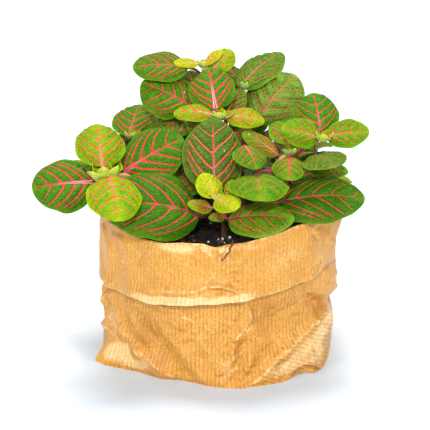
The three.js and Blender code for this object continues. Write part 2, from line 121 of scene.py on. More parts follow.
def value_noise(x, y, seed, wrap=64):
    """Smooth noise from -1 to 1 with cells of size 1, which repeats in x after wrap cells."""
    rows = 64
    table = np.random.default_rng(seed).uniform(-1, 1, (wrap, rows))
    x, y = np.broadcast_arrays(x, y)
    column, row = np.floor(x).astype(int), np.floor(y).astype(int)
    across, along = x - column, y - row
    across = across * across * (3 - 2 * across)
    along = along * along * (3 - 2 * along)

    def corner(i, j):
        return table[(column + i) % wrap, (row + j) % rows]

    low = corner(0, 0) * (1 - across) + corner(1, 0) * across
    high = corner(0, 1) * (1 - across) + corner(1, 1) * across
    return low * (1 - along) + high * along


def bend_between(p0, p1, p2, p3, t):
    """The place t of the way from p1 to p2 on a smooth line, which p0 and p3 also shape."""
    bend = (2 * p0 - 5 * p1 + 4 * p2 - p3) * t * t + (3 * p1 - p0 - 3 * p2 + p3) * t**3
    return p1 + 0.5 * ((p2 - p0) * t + bend)


def around(*pairs):
    """A smooth closed line through (angle, value) pairs, the first at 0: the value at any angle."""
    starts, values = np.array(pairs, float).T
    count = len(pairs)

    def value_at(angle):
        angle = np.asarray(angle, float) % 360
        k = np.searchsorted(starts, angle, side="right") - 1
        t = (angle - starts[k]) / ((starts[(k + 1) % count] - starts[k]) % 360)
        return bend_between(*(values[(k + i) % count] for i in (-1, 0, 1, 2)), t)

    return value_at


def straight_around(*pairs):
    """A closed line of straight stretches through (angle, value) pairs."""
    starts, values = zip(*pairs)
    return lambda angle: np.interp(angle, starts, values, period=360)


def placed(name, data):
    """A new object in the scene."""
    made = bpy.data.objects.new(name, data)
    bpy.context.scene.collection.objects.link(made)
    return made


class Body:
    """A mesh in the making: points in millimetres, faces, and what its shaders read at each point."""

    def __init__(self):
        self.points, self.faces, self.slots, self.values, self.count = [], [], [], {}, 0

    def add(self, points, faces, slot=0, **values):
        """Adds points, and faces that count from the first of them. slot may be one for each face."""
        points = np.asarray(points, float).reshape(-1, 3)
        for name in {*self.values, *values}:
            row = self.values.setdefault(name, [np.zeros((self.count, 3))])
            value = np.asarray(values.get(name, (0, 0, 0)), float)
            row.append(np.broadcast_to(value, (len(points), 3)))
        self.points.append(points)
        self.faces += [tuple(index + self.count for index in face) for face in faces]
        self.slots += list(slot) if np.ndim(slot) else [slot] * len(faces)
        self.count += len(points)

    def mesh(self, name):
        """The bare mesh."""
        mesh = bpy.data.meshes.new(name)
        mesh.from_pydata((np.concatenate(self.points) * MM).tolist(), [], self.faces)
        return mesh

    def make(self, name, materials, node, sharp=55):
        """The finished piece, which rides with the plant and stands for a node of the frame."""
        mesh = self.mesh(name)
        for material in materials:
            mesh.materials.append(material)
        mesh.polygons.foreach_set("material_index", self.slots)
        mesh.polygons.foreach_set("use_smooth", [True] * len(self.faces))
        mesh.set_sharp_from_angle(angle=math.radians(sharp))
        for value, rows in self.values.items():
            layer = mesh.attributes.new(value, "FLOAT_VECTOR", "POINT")
            layer.data.foreach_set("vector", np.concatenate(rows).astype(np.float32).ravel())
        mesh.update()
        piece = placed(name, mesh)
        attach(piece, "root")
        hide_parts(node)
        return piece


def ring_faces(rings, columns):
    """Quads between closed rings of points, and a face over the first ring and over the last."""
    faces = []
    for i in range(rings - 1):
        for j in range(columns):
            a = i * columns + j
            b = i * columns + (j + 1) % columns
            faces.append((a, b, b + columns, a + columns))
    last = (rings - 1) * columns
    return [*faces, tuple(reversed(range(columns))), tuple(range(last, last + columns))]


def circles(profile, columns):
    """A ring of points round the Z axis for each (radius, height) of a profile."""
    cosine, sine = turned(np.arange(columns) * 360 / columns)
    return [np.stack([r * cosine, r * sine, z + 0 * cosine], -1) for r, z in profile]


def line_through(points, steps):
    """A smooth line through points: steps + 1 rows from the first point to the last."""
    points = np.asarray(points, float)
    last = len(points) - 1
    spots = np.linspace(0, last, steps + 1)
    k = np.minimum(spots.astype(int), last - 1)
    near = (points[np.clip(k + i, 0, last)] for i in (-1, 0, 1, 2))
    return bend_between(*near, (spots - k)[:, None])


def tube(points, radii, sides=8):
    """The points and faces of a closed tube along a line, with a radius at each of its points."""
    points = np.asarray(points, float)
    along = unit(np.gradient(points, axis=0))
    across = np.empty_like(points)
    side = np.array([1.0, 0, 0]) if abs(along[0][0]) < 0.9 else np.array([0, 1.0, 0])
    for k, direction in enumerate(along):
        side = unit(side - direction * (side @ direction))
        across[k] = side
    third = np.cross(along, across)
    cosine, sine = turned(np.arange(sides) * 360 / sides)
    radii = np.broadcast_to(radii, len(points))[:, None, None]
    rings = across[:, None] * cosine[:, None] + third[:, None] * sine[:, None]
    rings = points[:, None] + radii * rings
    return rings.reshape(-1, 3), ring_faces(len(points), sides)


# Materials
def srgb(red, green, blue):
    """A colour as a screen gives it, 0 to 255, in the linear values that Blender works in."""
    screen = np.array([red, green, blue]) / 255
    linear = np.where(screen <= 0.04045, screen / 12.92, ((screen + 0.055) / 1.055) ** 2.4)
    return (*linear.tolist(), 1.0)


class Shader:
    """A material's nodes, written as calls that give sockets."""

    def __init__(self, name, **fixed):
        self.material = bpy.data.materials.new(name)
        self.material.use_nodes = True
        self.tree = self.material.node_tree
        self.surface = self.tree.nodes["Principled BSDF"]
        for socket, value in fixed.items():
            self.surface.inputs[socket.replace("_", " ")].default_value = value
        self.place = self.node("ShaderNodeTexCoord", {}).outputs["Object"]

    def node(self, kind, inputs, **settings):
        """A new node. An input is a socket to link or a plain value."""
        made = self.tree.nodes.new(kind)
        for name, value in settings.items():
            setattr(made, name, value)
        for socket, value in inputs.items():
            if isinstance(value, bpy.types.NodeSocket):
                self.tree.links.new(value, made.inputs[socket])
            else:
                made.inputs[socket].default_value = value
        return made

    def math(self, operation, *values):
        return self.node("ShaderNodeMath", dict(enumerate(values)), operation=operation).outputs[0]

    def times(self, first, second):
        return self.math("MULTIPLY", first, second)

    def scaled(self, value, factor, offset):
        """value times factor, plus offset."""
        return self.math("MULTIPLY_ADD", value, factor, offset)

    def mix(self, share, *colours):
        """Two colours mixed, each a socket or as srgb() takes it."""
        first, second = (srgb(*each) if isinstance(each, tuple) else each for each in colours)
        inputs = {0: share, 6: first, 7: second}
        return self.node("ShaderNodeMix", inputs, data_type="RGBA").outputs[2]

    def shaded(self, colour, value, saturation=1.0):
        """A colour made darker or lighter, and duller or richer."""
        inputs = {"Color": colour, "Value": value, "Saturation": saturation}
        return self.node("ShaderNodeHueSaturation", inputs).outputs[0]

    def between(self, value, low, high, start=0.0, end=1.0):
        """value taken smoothly from start, at low, to end, at high."""
        inputs = {0: value, 1: low, 2: high, 3: start, 4: end}
        node = self.node("ShaderNodeMapRange", inputs, interpolation_type="SMOOTHSTEP")
        return node.outputs[0]

    def ramp(self, value, *stops):
        """A colour from (place, colour) stops."""
        node = self.node("ShaderNodeValToRGB", {0: value})
        elements = node.color_ramp.elements
        while len(elements) < len(stops):
            elements.new(0.5)
        for element, (place, colour) in zip(elements, stops):
            element.position = place
            element.color = srgb(*colour)
        return node.outputs[0]

    def read(self, name):
        """The three numbers that the mesh holds under a name at each point."""
        vector = self.node("ShaderNodeAttribute", {}, attribute_name=name).outputs["Vector"]
        return tuple(self.node("ShaderNodeSeparateXYZ", {0: vector}).outputs)

    def noise(self, size, detail=2.0, place=None):
        """Noise from 0 to 1 whose features are about size millimetres."""
        inputs = {"Vector": place or self.place, "Scale": 1 / (size * MM), "Detail": detail}
        return self.node("ShaderNodeTexNoise", inputs).outputs[0]

    def cells(self, size, feature="F1"):
        """The distance in a net of cells of about size millimetres, from their middles or edges."""
        inputs = {"Vector": self.place, "Scale": 1 / (size * MM)}
        return self.node("ShaderNodeTexVoronoi", inputs, feature=feature).outputs["Distance"]

    def stretched(self, x, y, z):
        """The place with each axis scaled."""
        inputs = {0: self.place, 1: (x, y, z)}
        return self.node("ShaderNodeVectorMath", inputs, operation="MULTIPLY").outputs[0]

    def relief(self, height, depth):
        """Bumps whose height runs from 0 to 1 over depth millimetres."""
        inputs = {"Height": height, "Distance": depth * MM, "Strength": 1.0}
        bumps = self.node("ShaderNodeBump", inputs).outputs[0]
        self.tree.links.new(bumps, self.surface.inputs["Normal"])

    def finish(self, colour, roughness=None):
        """The material, with the sockets that give its colour and its roughness."""
        self.tree.links.new(colour, self.surface.inputs["Base Color"])
        if roughness is not None:
            self.tree.links.new(roughness, self.surface.inputs["Roughness"])
        return self.material


# A leaf's colours by its age: 0 has just opened, 1 is old. The grey green of the oldest is
# partly its colour and partly a painted sheen.
AGES = (0.0, 0.2, 0.5, 0.75, 1.0)
BESIDE_VEINS = ((154, 188, 2), (106, 162, 1), (56, 126, 1), (44, 102, 1), (60, 88, 20))
BETWEEN_VEINS = ((94, 156, 0), (66, 138, 0), (56, 118, 4), (70, 120, 12), (94, 120, 46))
LEAF_MARGIN = ((186, 208, 18), (152, 194, 8), (104, 168, 10), (98, 148, 16), (122, 148, 60))
LATERAL_VEINS = ((236, 88, 50), (234, 60, 52), (236, 44, 62), (230, 62, 74), (230, 94, 80))
MIDRIB = ((232, 96, 96), (232, 72, 84), (232, 48, 72), (222, 58, 72), (222, 84, 88))
BLUSH = (248, 160, 170)
LEAF_BACK = ((190, 212, 24), (156, 194, 36), (118, 164, 66), (110, 150, 80), (124, 150, 100))
RIB_GLOW = ((206, 214, 36), (160, 192, 20), (84, 150, 14), (70, 122, 20), (88, 116, 44))
BACK_VEINS = ((206, 170, 104), (214, 150, 112), (206, 118, 104), (190, 106, 98), (188, 118, 104))


def by_age(shader, age, colours):
    """The colour of an age, out of one colour for each of AGES."""
    return shader.ramp(age, *zip(AGES, colours))


def vein_mask(shader, distance, half, soft):
    """1 on a vein and 0 beside it. Distances are in millimetres."""
    beyond = shader.math("SUBTRACT", distance, half)
    return shader.between(beyond, -soft, soft, 1.0, 0.0)


def leaf_veins(shader, soft):
    """The masks of the lateral veins and the midrib, and how far a point is from a lateral."""
    wobble = shader.scaled(shader.noise(1.6, 3.0), 0.5, -0.25)
    phase, gap, half = shader.read("lateral")
    apart = shader.math("PINGPONG", phase, 0.5)
    distance = shader.scaled(apart, gap, wobble)
    lateral = vein_mask(shader, distance, half, soft)
    fork_phase, fork_gap, fork_half = shader.read("fork")
    fork_apart = shader.math("PINGPONG", fork_phase, 0.5)
    fork_distance = shader.scaled(fork_apart, fork_gap, wobble)
    fork = vein_mask(shader, fork_distance, fork_half, soft)
    middle, middle_half, _ = shader.read("midrib")
    midrib = vein_mask(shader, middle, middle_half, soft * 1.3)
    return shader.math("MAXIMUM", lateral, fork), midrib, shader.times(apart, 2.0)


def leaf_front():
    """The upper face: quilted green, pale at its margin, with red veins and a soft sheen."""
    shader = Shader("leaf_front", IOR=1.4, Specular_IOR_Level=0.15)
    age, tint, margin = shader.read("tone")
    lateral, midrib, between = leaf_veins(shader, 0.16)
    middle, _, blush = shader.read("midrib")
    patches = shader.noise(7.0, 3.0)
    quilt = shader.times(shader.between(between, 0.15, 0.95), shader.between(patches, 0.3, 0.6))
    green = shader.mix(quilt, by_age(shader, age, BESIDE_VEINS), by_age(shader, age, BETWEEN_VEINS))
    glow = shader.between(middle, 0.3, 5.0, 0.6, 0.0)
    green = shader.mix(glow, green, by_age(shader, age, RIB_GLOW))

    # The margin pales over a broad band and again at the very edge, and so does a fine net.
    pale = by_age(shader, age, LEAF_MARGIN)
    green = shader.mix(shader.between(margin, 0.0, 3.2, 0.55, 0.0), green, pale)
    green = shader.mix(shader.between(margin, 0.2, 0.8, 0.75, 0.0), green, pale)
    net = shader.cells(1.7, "DISTANCE_TO_EDGE")
    green = shader.mix(shader.between(net, 0.0, 0.2, 0.42, 0.0), green, pale)
    fine = shader.noise(0.7, 3.0)
    value = shader.scaled(tint, 0.13, 0.61)
    value = shader.scaled(fine, 0.42, value)
    green = shader.shaded(green, value, 1.06)

    # Veins, and a few pale grains that the soil left.
    ribs = shader.mix(blush, by_age(shader, age, MIDRIB), BLUSH)
    colour = shader.mix(lateral, green, by_age(shader, age, LATERAL_VEINS))
    colour = shader.mix(midrib, colour, ribs)
    kept = shader.between(shader.noise(9.0, 2.0), 0.5, 0.56)
    grains = shader.times(shader.between(shader.cells(8.0), 0.035, 0.05, 1.0, 0.0), kept)
    colour = shader.mix(grains, colour, (244, 244, 226))

    # Veins lie in grooves, and the skin is pebbled.
    grooves = shader.times(shader.math("MAXIMUM", lateral, midrib), -0.8)
    height = shader.scaled(shader.between(net, 0.0, 0.3), 0.9, grooves)
    shader.relief(shader.scaled(fine, 0.5, height), 0.32)
    return shader.finish(colour, shader.between(patches, 0.2, 0.8, 0.36, 0.5))


def leaf_back():
    """The lower face: paler and duller, with its veins raised and washed out."""
    shader = Shader("leaf_back", IOR=1.4, Sheen_Weight=0.2, Sheen_Roughness=0.6)
    age, tint, margin = shader.read("tone")
    lateral, midrib, _ = leaf_veins(shader, 0.3)
    green = by_age(shader, age, LEAF_BACK)
    net = shader.between(shader.cells(1.4, "DISTANCE_TO_EDGE"), 0.0, 0.2, 0.3, 0.0)
    green = shader.mix(net, green, (176, 190, 128))
    value = shader.scaled(tint, 0.14, 0.86)
    value = shader.scaled(shader.noise(2.5, 3.0), 0.2, value)
    green = shader.shaded(green, value)
    veins = shader.math("MAXIMUM", lateral, midrib)
    colour = shader.mix(shader.times(veins, 0.75), green, by_age(shader, age, BACK_VEINS))
    colour = shader.mix(shader.between(margin, 0.0, 0.5, 0.5, 0.0), colour, (170, 190, 110))
    shader.relief(shader.scaled(veins, 0.8, shader.cells(0.9)), 0.25)
    return shader.finish(colour, shader.between(margin, 0.0, 8.0, 0.5, 0.58))


def stem_skin():
    """Stems and stalks: dark red where they are old, pink and green where they are young."""
    shader = Shader("stem_skin", IOR=1.42, Sheen_Weight=0.25, Sheen_Roughness=0.4)
    red, young, soil = shader.read("skin")
    streaks = shader.noise(0.5, 3.0, shader.stretched(1.0, 1.0, 0.2))
    ages = ((0.0, (116, 18, 30)), (0.45, (186, 62, 66)), (0.8, (206, 146, 110)), (1.0, (190, 196, 96)))
    colour = shader.ramp(young, *ages)
    colour = shader.mix(red, (126, 120, 60), colour)
    colour = shader.mix(soil, colour, (84, 58, 42))
    colour = shader.shaded(colour, shader.scaled(streaks, 0.5, 0.72))
    shader.relief(streaks, 0.2)
    return shader.finish(colour, shader.between(streaks, 0.2, 0.8, 0.34, 0.55))


def hair_white():
    """Fine pale hairs on the stems."""
    shader = Shader("hair_white")
    colour = shader.ramp(shader.noise(3.0), (0.3, (236, 226, 206)), (0.7, (214, 196, 170)))
    return shader.finish(colour, shader.between(shader.noise(2.0), 0.3, 0.7, 0.5, 0.7))


# Leaves
def leaf(foot, turn, rise, long, wide, roll=0, arch=30, age=0.5, **look):
    """A leaf as in the part's source: where its blade starts, the way it points, its length and
    width, its roll about the midrib and the arch of the midrib. age sets its colours, and look
    takes the place of what grown() would draw at random: its tint and blush, how many laterals it
    has, and half the widths of the midrib (rib) and of the laterals (vein)."""
    shape = dict(foot=foot, turn=turn, rise=rise, long=long, wide=wide, roll=roll, arch=arch)
    return {**shape, "age": age, **look}


def shoot(name, root, thick, bend, bud, young, nodes):
    """A stem from its root, over the middle of its bend, to its bud. young is how the youngest
    leaves stand round the bud: their length, their age and how steeply they rise."""
    return dict(name=name, root=root, thick=thick, bend=bend, bud=bud, young=young, nodes=nodes)


# Every shoot with its nodes: where a node is on the bend of its stem, and its leaves.
SHOOTS = [
    shoot("left", (-26, -17), 1.9, (-34, -20, 110), (-63, -32, 116), (14, 0.0, 30), [
        (0.8, [
            leaf((-70, -32, 110.5), 192, -2, 34, 36, roll=-46, age=0.72, blush=1.0, rib=1.3, vein=0.46),
            leaf((-53, -24, 114), 13, 27, 38, 36.5, roll=42, tint=-1, age=0.55, blush=0.3, rib=1.2, vein=0.5),
        ]),
        (0.95, [
            leaf((-65, -30, 119), 100, 33, 31, 31.5, arch=35, age=0.12, blush=0.5, rib=0.95),
            leaf((-60.5, -39, 116.5), 283, -28, 34, 33, arch=35, age=0.1, blush=0.15, rib=0.75),
        ]),
    ]),
    shoot("left_rear", (-27, 4), 1.7, (-32, 4, 114), (-50, 5, 126), (6, 0.1, 50), [
        (0.6, [
            leaf((-56, 8, 112), 176, -12, 26, 21, roll=-20, age=0.8),
            leaf((-36, 8, 118), 14, 12, 22, 19, roll=10, age=0.8),
        ]),
        (0.95, [
            leaf((-52, 9, 125), 80, 22, 30, 29, arch=35, age=0.65),
            leaf((-56, 8, 123), 170, -30, 25, 23, age=0.6),
        ]),
        (0.46, [leaf((-41, -5, 102), 200, 30, 32, 24, roll=-30, arch=40, age=0.82)]),
        (0.33, [leaf((-30, 7, 96), 77, 33, 32, 26, roll=21, arch=40, age=0.82)]),
    ]),
    shoot("front", (3, -34), 1.7, (1, -37, 98), (-1, -48, 107), (5, 0.1, 50), [
        (0.3, [
            leaf((-11, -39, 93), 183, 9, 55, 44.5, roll=-48, arch=72, age=0.75, rib=0.85, vein=0.36),
            leaf((5, -45, 93), 348, 5, 37, 30, roll=26, arch=35, age=0.87, tint=3, vein=0.36),
        ]),
        (0.6, [leaf((-3, -36, 106), 92, 56, 43, 38, roll=6, arch=22, age=0.97)]),
        (0.5, [leaf((3.5, -43, 94), 184, -2, 9.5, 7, roll=-38, tint=-0.6, age=0.5, blush=0, vein=0.2)]),
        (0.8, [
            leaf((-4, -46, 100), 186, 14, 14, 11, roll=-28, tint=-0.6, age=0.3, vein=0.3),
            leaf((4, -41, 105), 50, 58, 10, 8, tint=-0.5, age=0.2),
        ]),
        (0.98, [
            leaf((-2, -48, 107), 130, 42, 16, 17, roll=-12, tint=0.2, age=0.0, vein=0.16, rib=0.4),
            leaf((-1.5, -52, 108), 312, -6, 17, 16, roll=25, tint=-0.2, age=0.06, vein=0.17, rib=0.4),
        ]),
    ]),
    shoot("front_right", (18, -22), 1.8, (23, -22, 114), (40, -22, 125), (6.5, 0.3, 40), [
        (0.25, [leaf((29, -34, 98), 354, 6, 52, 38, roll=30, arch=40, age=0.66, rib=0.8, vein=0.34)]),
        (0.45, [leaf((14, -25, 129.5), 292, -28, 19, 22, roll=-5, arch=40, age=0.62)]),
        (0.6, [leaf((20, -34, 115), 275, -9, 30, 37, arch=50, tint=-1, age=0.32, vein=0.22, rib=0.5)]),
        (0.86, [leaf((33, -19, 122), 164, 30, 24, 14, roll=-28, age=0.45)]),
        (0.97, [
            leaf((39, -26, 123), 267, -22, 20, 20, tint=-0.8, age=0.42, blush=0.1, rib=0.7, vein=0.22),
            leaf((39, -16, 127), 104, 22, 22, 20, roll=10, age=0.4),
        ]),
    ]),
    shoot("right", (31, -5), 1.9, (38, -6, 122), (59, -18, 132), (8.5, 0.0, 34), [
        (0.5, [
            leaf((52, -9, 112), 350, -5, 22, 18, roll=20, age=0.5),
            leaf((48, 5, 118), 56, -8, 27, 24, roll=-12, age=0.8),
        ]),
        (0.86, [
            leaf((57, -12, 134), 98, 35, 28, 29, tint=-0.7, age=0.52, vein=0.28),
            leaf((54, -22, 122.5), 290, 2, 25, 28, roll=10, arch=50, tint=1, age=0.95, vein=0.12, rib=0.4),
        ]),
        (0.97, [
            leaf((56, -18, 132), 175, 14, 22, 21, roll=-42, tint=0, age=0.34, blush=0.3, vein=0.22),
            leaf((60, -18, 133), 356, 8, 24, 20, roll=46, tint=-0.1, age=0.34, blush=0.3, vein=0.25),
        ]),
        (0.35, [leaf((42, -3, 99), 38, 27, 32, 25, roll=10, arch=40, age=0.82)]),
    ]),
    shoot("top", (1, -11), 1.9, (2, -6, 120), (0, -5, 141), (10, 0.0, 30), [
        (0.2, [
            leaf((-9, -14, 103), 190, 5, 28, 23, roll=-20, age=0.8),
            leaf((4, -3, 126), 10, 28, 17, 16, roll=15, age=0.8),
        ]),
        (0.5, [leaf((-6, -3, 126), 140, 45, 20, 20, roll=-10, age=0.85)]),
        (0.8, [leaf((4, 2, 137), 60, 40, 22, 17, age=0.75)]),
        (0.92, [
            leaf((-2, -1, 144), 99, 35, 30.5, 30, roll=-8,
                 tint=-0.8, age=0.5, blush=1.0, rib=1.35, vein=0.46),
        ]),
        (0.97, [
            leaf((-4, -6, 142), 174, 0, 22, 17, roll=-24, arch=45, tint=-0.6, age=0.15, vein=0.4),
            leaf((4, -5, 140), 356, -5, 22, 17, roll=32, arch=60, tint=-0.4, age=0.12, vein=0.4),
        ]),
        (0.42, [leaf((14, -13, 113), 2, -14, 26, 22, roll=-50, arch=40, age=0.82)]),
    ]),
    shoot("crown", (-9, 12), 2, (-10, 23, 138), (-9, 28, 162), (6, 0.0, 62), [
        (0.45, [
            leaf((-10, 32, 131), 112, 4, 20, 18, arch=35, age=0.8),
            leaf((-20, 22, 128), 178, -8, 28, 24, arch=40, age=0.8),
        ]),
        (0.65, [leaf((-16, 9, 143), 166, 21, 32, 33, roll=-40, age=0.78, tint=1.0, vein=0.36)]),
        (0.88, [leaf((-18, 22, 162.5), 184, 1, 32, 25, roll=-36, arch=40, age=0.72, vein=0.34)]),
        (0.98, [
            leaf((-12, 25, 164), 198, 5, 15, 9, roll=-30, tint=-0.2, age=0.0, vein=0.13),
            leaf((-4, 26, 159), 50, 30, 20, 17, roll=25, tint=-0.6, age=0.1, vein=0.2),
            leaf((-8, 27, 163), 15, 38, 13, 8, roll=30, age=0.06),
        ]),
        (0.6, [leaf((-15, 16, 134), 222, -11, 32, 26, roll=-14, arch=40, age=0.82)]),
        (0.72, [leaf((-15, 22, 139), 100, 60, 22, 18, age=0.85, tint=-1.4)]),
    ]),
    shoot("top_right", (14, 8), 1.8, (14, 12, 130), (15, 21, 151), (6, 0.3, 60), [
        (0.4, [leaf((17, 22, 122), 88, 6, 32, 26, arch=35, age=0.8)]),
        (0.6, [
            # Its high tint makes this old leaf pale grey green, partly its colour and partly a painted sheen.
            leaf((21, 12, 133.5), 35, 38, 37, 39, roll=30,
                 age=1.0, tint=3.9, vein=0.25, rib=0.75, laterals=4.8),
        ]),
        (0.9, [
            leaf((12, 23, 150), 44, 24, 38, 29, roll=8, age=0.88, tint=1.4, vein=0.2, rib=0.85, laterals=5),
            leaf((12, 29, 149), 110, 22, 22, 17, age=0.8),
        ]),
    ]),
    shoot("left_low", (-40, 12), 1.6, (-46, 14, 102), (-72, 20, 104), (6, 0.2, 55), [
        (0.55, [
            leaf((-58, 28, 101), 140, 0, 32, 26, arch=40, age=0.7),
            leaf((-58, 2, 101), 222, 2, 30, 24, roll=-12, arch=40, age=0.7),
        ]),
        (0.97, [
            leaf((-78, 21, 103), 172, -12, 24, 20, roll=-10, age=0.4),
            leaf((-72, 25, 106), 100, 8, 20, 17, age=0.2),
        ]),
    ]),
    shoot("rear_left", (-20, 26), 1.8, (-25, 30, 112), (-38, 44, 122), (7, 0.0, 50), [
        (0.3, [
            leaf((-34, 44, 96), 122, 4, 46, 36, arch=55, age=0.75),
            leaf((-15, 38, 101), 86, 12, 36, 27, arch=50, age=0.8),
        ]),
        (0.7, [
            leaf((-42, 34, 116), 186, -2, 25, 23, roll=32, arch=35, age=0.5),
            leaf((-25, 38, 119), 2, 12, 22, 20, roll=-30, arch=35, age=0.5),
        ]),
        (0.97, [
            leaf((-41, 49, 121), 122, -26, 30, 27, arch=40, age=0.2),
            leaf((-35, 45, 127), 290, 55, 19, 18, arch=30, age=0.1),
        ]),
    ]),
    shoot("rear", (3, 30), 1.8, (5, 38, 118), (4, 56, 134), (8, 0.0, 45), [
        (0.25, [leaf((11, 46, 97), 82, 3, 44, 34, arch=60, age=0.8)]),
        (0.55, [
            leaf((-6, 54, 116), 152, 0, 32, 28, roll=26, arch=40, age=0.7),
            leaf((15, 51, 118), 34, 2, 25, 23, roll=-24, arch=40, age=0.6),
        ]),
        (0.8, [
            leaf((4, 60, 129), 88, -28, 32, 28, arch=40, age=0.4),
            leaf((5, 51, 135), 272, 50, 22, 22, arch=30, age=0.3),
        ]),
        (0.97, [
            leaf((-1, 57, 135), 168, 8, 19, 16, roll=30, arch=40, age=0.1),
            leaf((9, 57, 134), 352, 8, 22, 17, roll=-30, arch=40, age=0.05),
        ]),
    ]),
    shoot("rear_right", (24, 24), 1.8, (28, 30, 110), (44, 44, 124), (7, 0.0, 50), [
        (0.3, [leaf((38, 42, 96), 70, 4, 44, 35, arch=55, age=0.75)]),
        (0.65, [
            leaf((31, 47, 111), 98, -4, 23, 20, arch=40, age=0.6),
            leaf((47, 33, 106), 350, -6, 21, 18, roll=-10, arch=40, age=0.5),
        ]),
        (0.97, [
            leaf((47, 49, 123), 56, -26, 29, 26, arch=40, age=0.2),
            leaf((42, 41, 127), 236, 44, 22, 21, arch=30, age=0.1),
        ]),
    ]),
    shoot("right_low", (42, 10), 1.6, (48, 12, 100), (63, 17, 101), (5, 0.1, 55), [
        (0.5, [
            leaf((58, 4, 94), 320, -4, 28, 22, roll=10, arch=40, age=0.7),
            leaf((56, 26, 95), 45, -2, 27, 22, arch=40, age=0.7),
        ]),
        (0.97, [
            leaf((66, 17, 99), 12, -24, 15, 13, age=0.3),
            leaf((63, 12, 101), 285, 0, 17, 13, age=0.1),
        ]),
    ]),
]


def leaf_outline(u):
    """Half the leaf's width at u, as a share of its widest."""
    t = np.clip(u, 0, 1) ** 0.9
    return (4 * t * (1 - t)) ** 0.56


def leaf_axes(leaf):
    """The directions along the midrib, to the left and out of the upper face, as rows."""
    (cos_turn, sin_turn), (cos_rise, sin_rise) = turned(leaf["turn"]), turned(leaf["rise"])
    along = np.array([cos_rise * cos_turn, cos_rise * sin_turn, sin_rise])
    left = np.array([-sin_turn, cos_turn, 0])
    cos_roll, sin_roll = turned(leaf["roll"])
    rolled = left * cos_roll + np.cross(along, left) * sin_roll
    return np.array([along, rolled, np.cross(along, rolled)])


def blade_points(leaf, u, w):
    """Points of the blade's middle surface, u from foot to tip and w from -1 to 1 across it."""
    long, half = leaf["long"], math.radians(leaf["arch"]) / 2
    phi = 2 * half * (u - 0.5)
    x = long / 2 + long / 2 * np.sin(phi) / math.sin(half)
    z = long / 2 * (np.cos(phi) - math.cos(half)) / math.sin(half)
    lopsided, ripple, start, twist = leaf["uneven"]
    reach = leaf["wide"] / 2 * leaf_outline(u) * (1 + lopsided * np.sign(w))
    reach = reach * (1 + ripple * np.sin(2 * np.pi * (2.3 * u + start)) * np.abs(w))
    scallops = value_noise(long / 4.5 * u + 8, 5.3 + 6 * (w > 0), leaf["seed"])
    reach = reach * (1 + 0.03 * scallops * np.abs(w) ** 3)
    wave = LEAF_WAVE * np.sin(2 * np.pi * (1.6 * u + 0.25 * np.sign(w)))
    lift = reach * (leaf["fold"] * np.abs(w) - (leaf["sag"] - wave) * w * w)
    lift = lift + reach * w * twist * (u - 0.4)
    y = reach * w * (1 - 0.25 * leaf["fold"] - 0.12 * w * w * leaf["sag"])
    points = np.stack([x + lift * np.sin(phi), y, z + lift * np.cos(phi)], axis=-1)
    return points @ leaf_axes(leaf) + np.array(leaf["foot"])


def vein_phase(leaf, u, w):
    """A number that is whole along each lateral vein, which bends forwards on its way out."""
    out = np.abs(w) * leaf_outline(u)
    start = u - leaf["sweep"] * out - leaf["arching"] * out**2.6
    start = start + 0.026 * value_noise(3 * u + 2, 1.3 * out + 7 + 3 * (w > 0), leaf["seed"])
    crowded = np.sign(start) * np.abs(start) ** 0.72
    side = 0.11 * np.tanh(out / 0.12) * np.sign(w)
    return leaf["laterals"] * crowded - leaf["first"] + side


def gap_between(points, phase, u, w):
    """How many millimetres of the surface one step of phase takes, at each point of a grid."""
    def slopes(grid):
        """How a grid changes with u and with w."""
        return np.gradient(grid, u, axis=0), np.gradient(grid, w, axis=1)

    # e and g are the squares of a step along and across the blade, and f says how they lean.
    (along, across), (phase_u, phase_w) = slopes(points), slopes(phase)
    e, f, g = (along**2).sum(-1), (along * across).sum(-1), (across**2).sum(-1)
    area = np.maximum(e * g - f * f, 1e-6)
    steep = (g * phase_u**2 - 2 * f * phase_u * phase_w + e * phase_w**2) / area
    return np.clip(1 / np.sqrt(np.maximum(steep, 1e-6)), 0.2, 40)


def quilted(leaf, points, u, w, phase):
    """The points of a blade, moved, and its normals. It bulges between its veins, its midrib lies
    in a groove and its skin is crinkled."""
    normal = unit(np.cross(np.gradient(points, axis=0), np.gradient(points, axis=1)))
    from_midrib = np.abs(w) * leaf_outline(u) * leaf["wide"] / 2
    calm = smooth_step(from_midrib, 0.3, 2.5) * (1 - smooth_step(np.abs(w), 0.75, 1.0))
    calm *= smooth_step(u, 0.02, 0.12) * (1 - smooth_step(u, 0.86, 0.99))
    calm *= smooth_step(phase, -0.9, -0.2)
    bulge = (0.5 - 0.5 * np.cos(2 * np.pi * phase)) ** 0.7 * leaf["quilt"] * calm
    groove = np.exp(-((from_midrib / 1.2) ** 2)) * -0.25 * min(1, leaf["long"] / 30)
    cells = leaf["long"] / 3.4
    crinkle = 0.2 * value_noise(u * cells + 3, w * cells * 0.4 + 9, leaf["seed"])
    crinkle += 0.1 * value_noise(u * cells * 2.1 + 3, w * cells * 0.84 + 20, leaf["seed"] + 1)
    return points + normal * (bulge + groove + crinkle * calm)[..., None], normal


def vein_widths(leaf, u, w, phase):
    """Half the width of the laterals, of their forks and of the midrib at each point. Veins narrow
    on their way out and end before the margin, and below 0 there is none."""
    out = np.abs(w) * leaf_outline(u)
    visible = (1 - smooth_step(np.abs(w), 0.8, 0.95)) * (1 - smooth_step(u, 0.9, 0.98))
    visible *= smooth_step(phase, -0.45, -0.2)
    lateral = leaf["vein"] * (1.25 - 0.9 * out)
    lateral *= 1 - 0.6 * smooth_step(phase / leaf["laterals"], 0.5, 0.8)
    lateral = lateral * visible - 0.16 * (1 - visible)
    forked = smooth_step(out, 0.5, 0.6) * leaf["forks"]
    fork = 0.6 * lateral * forked - 0.3 * (1 - forked)
    midrib = leaf["rib"] * (1 - 0.78 * u**0.6) * (1 - smooth_step(u, 0.86, 0.98))
    return lateral, fork, midrib


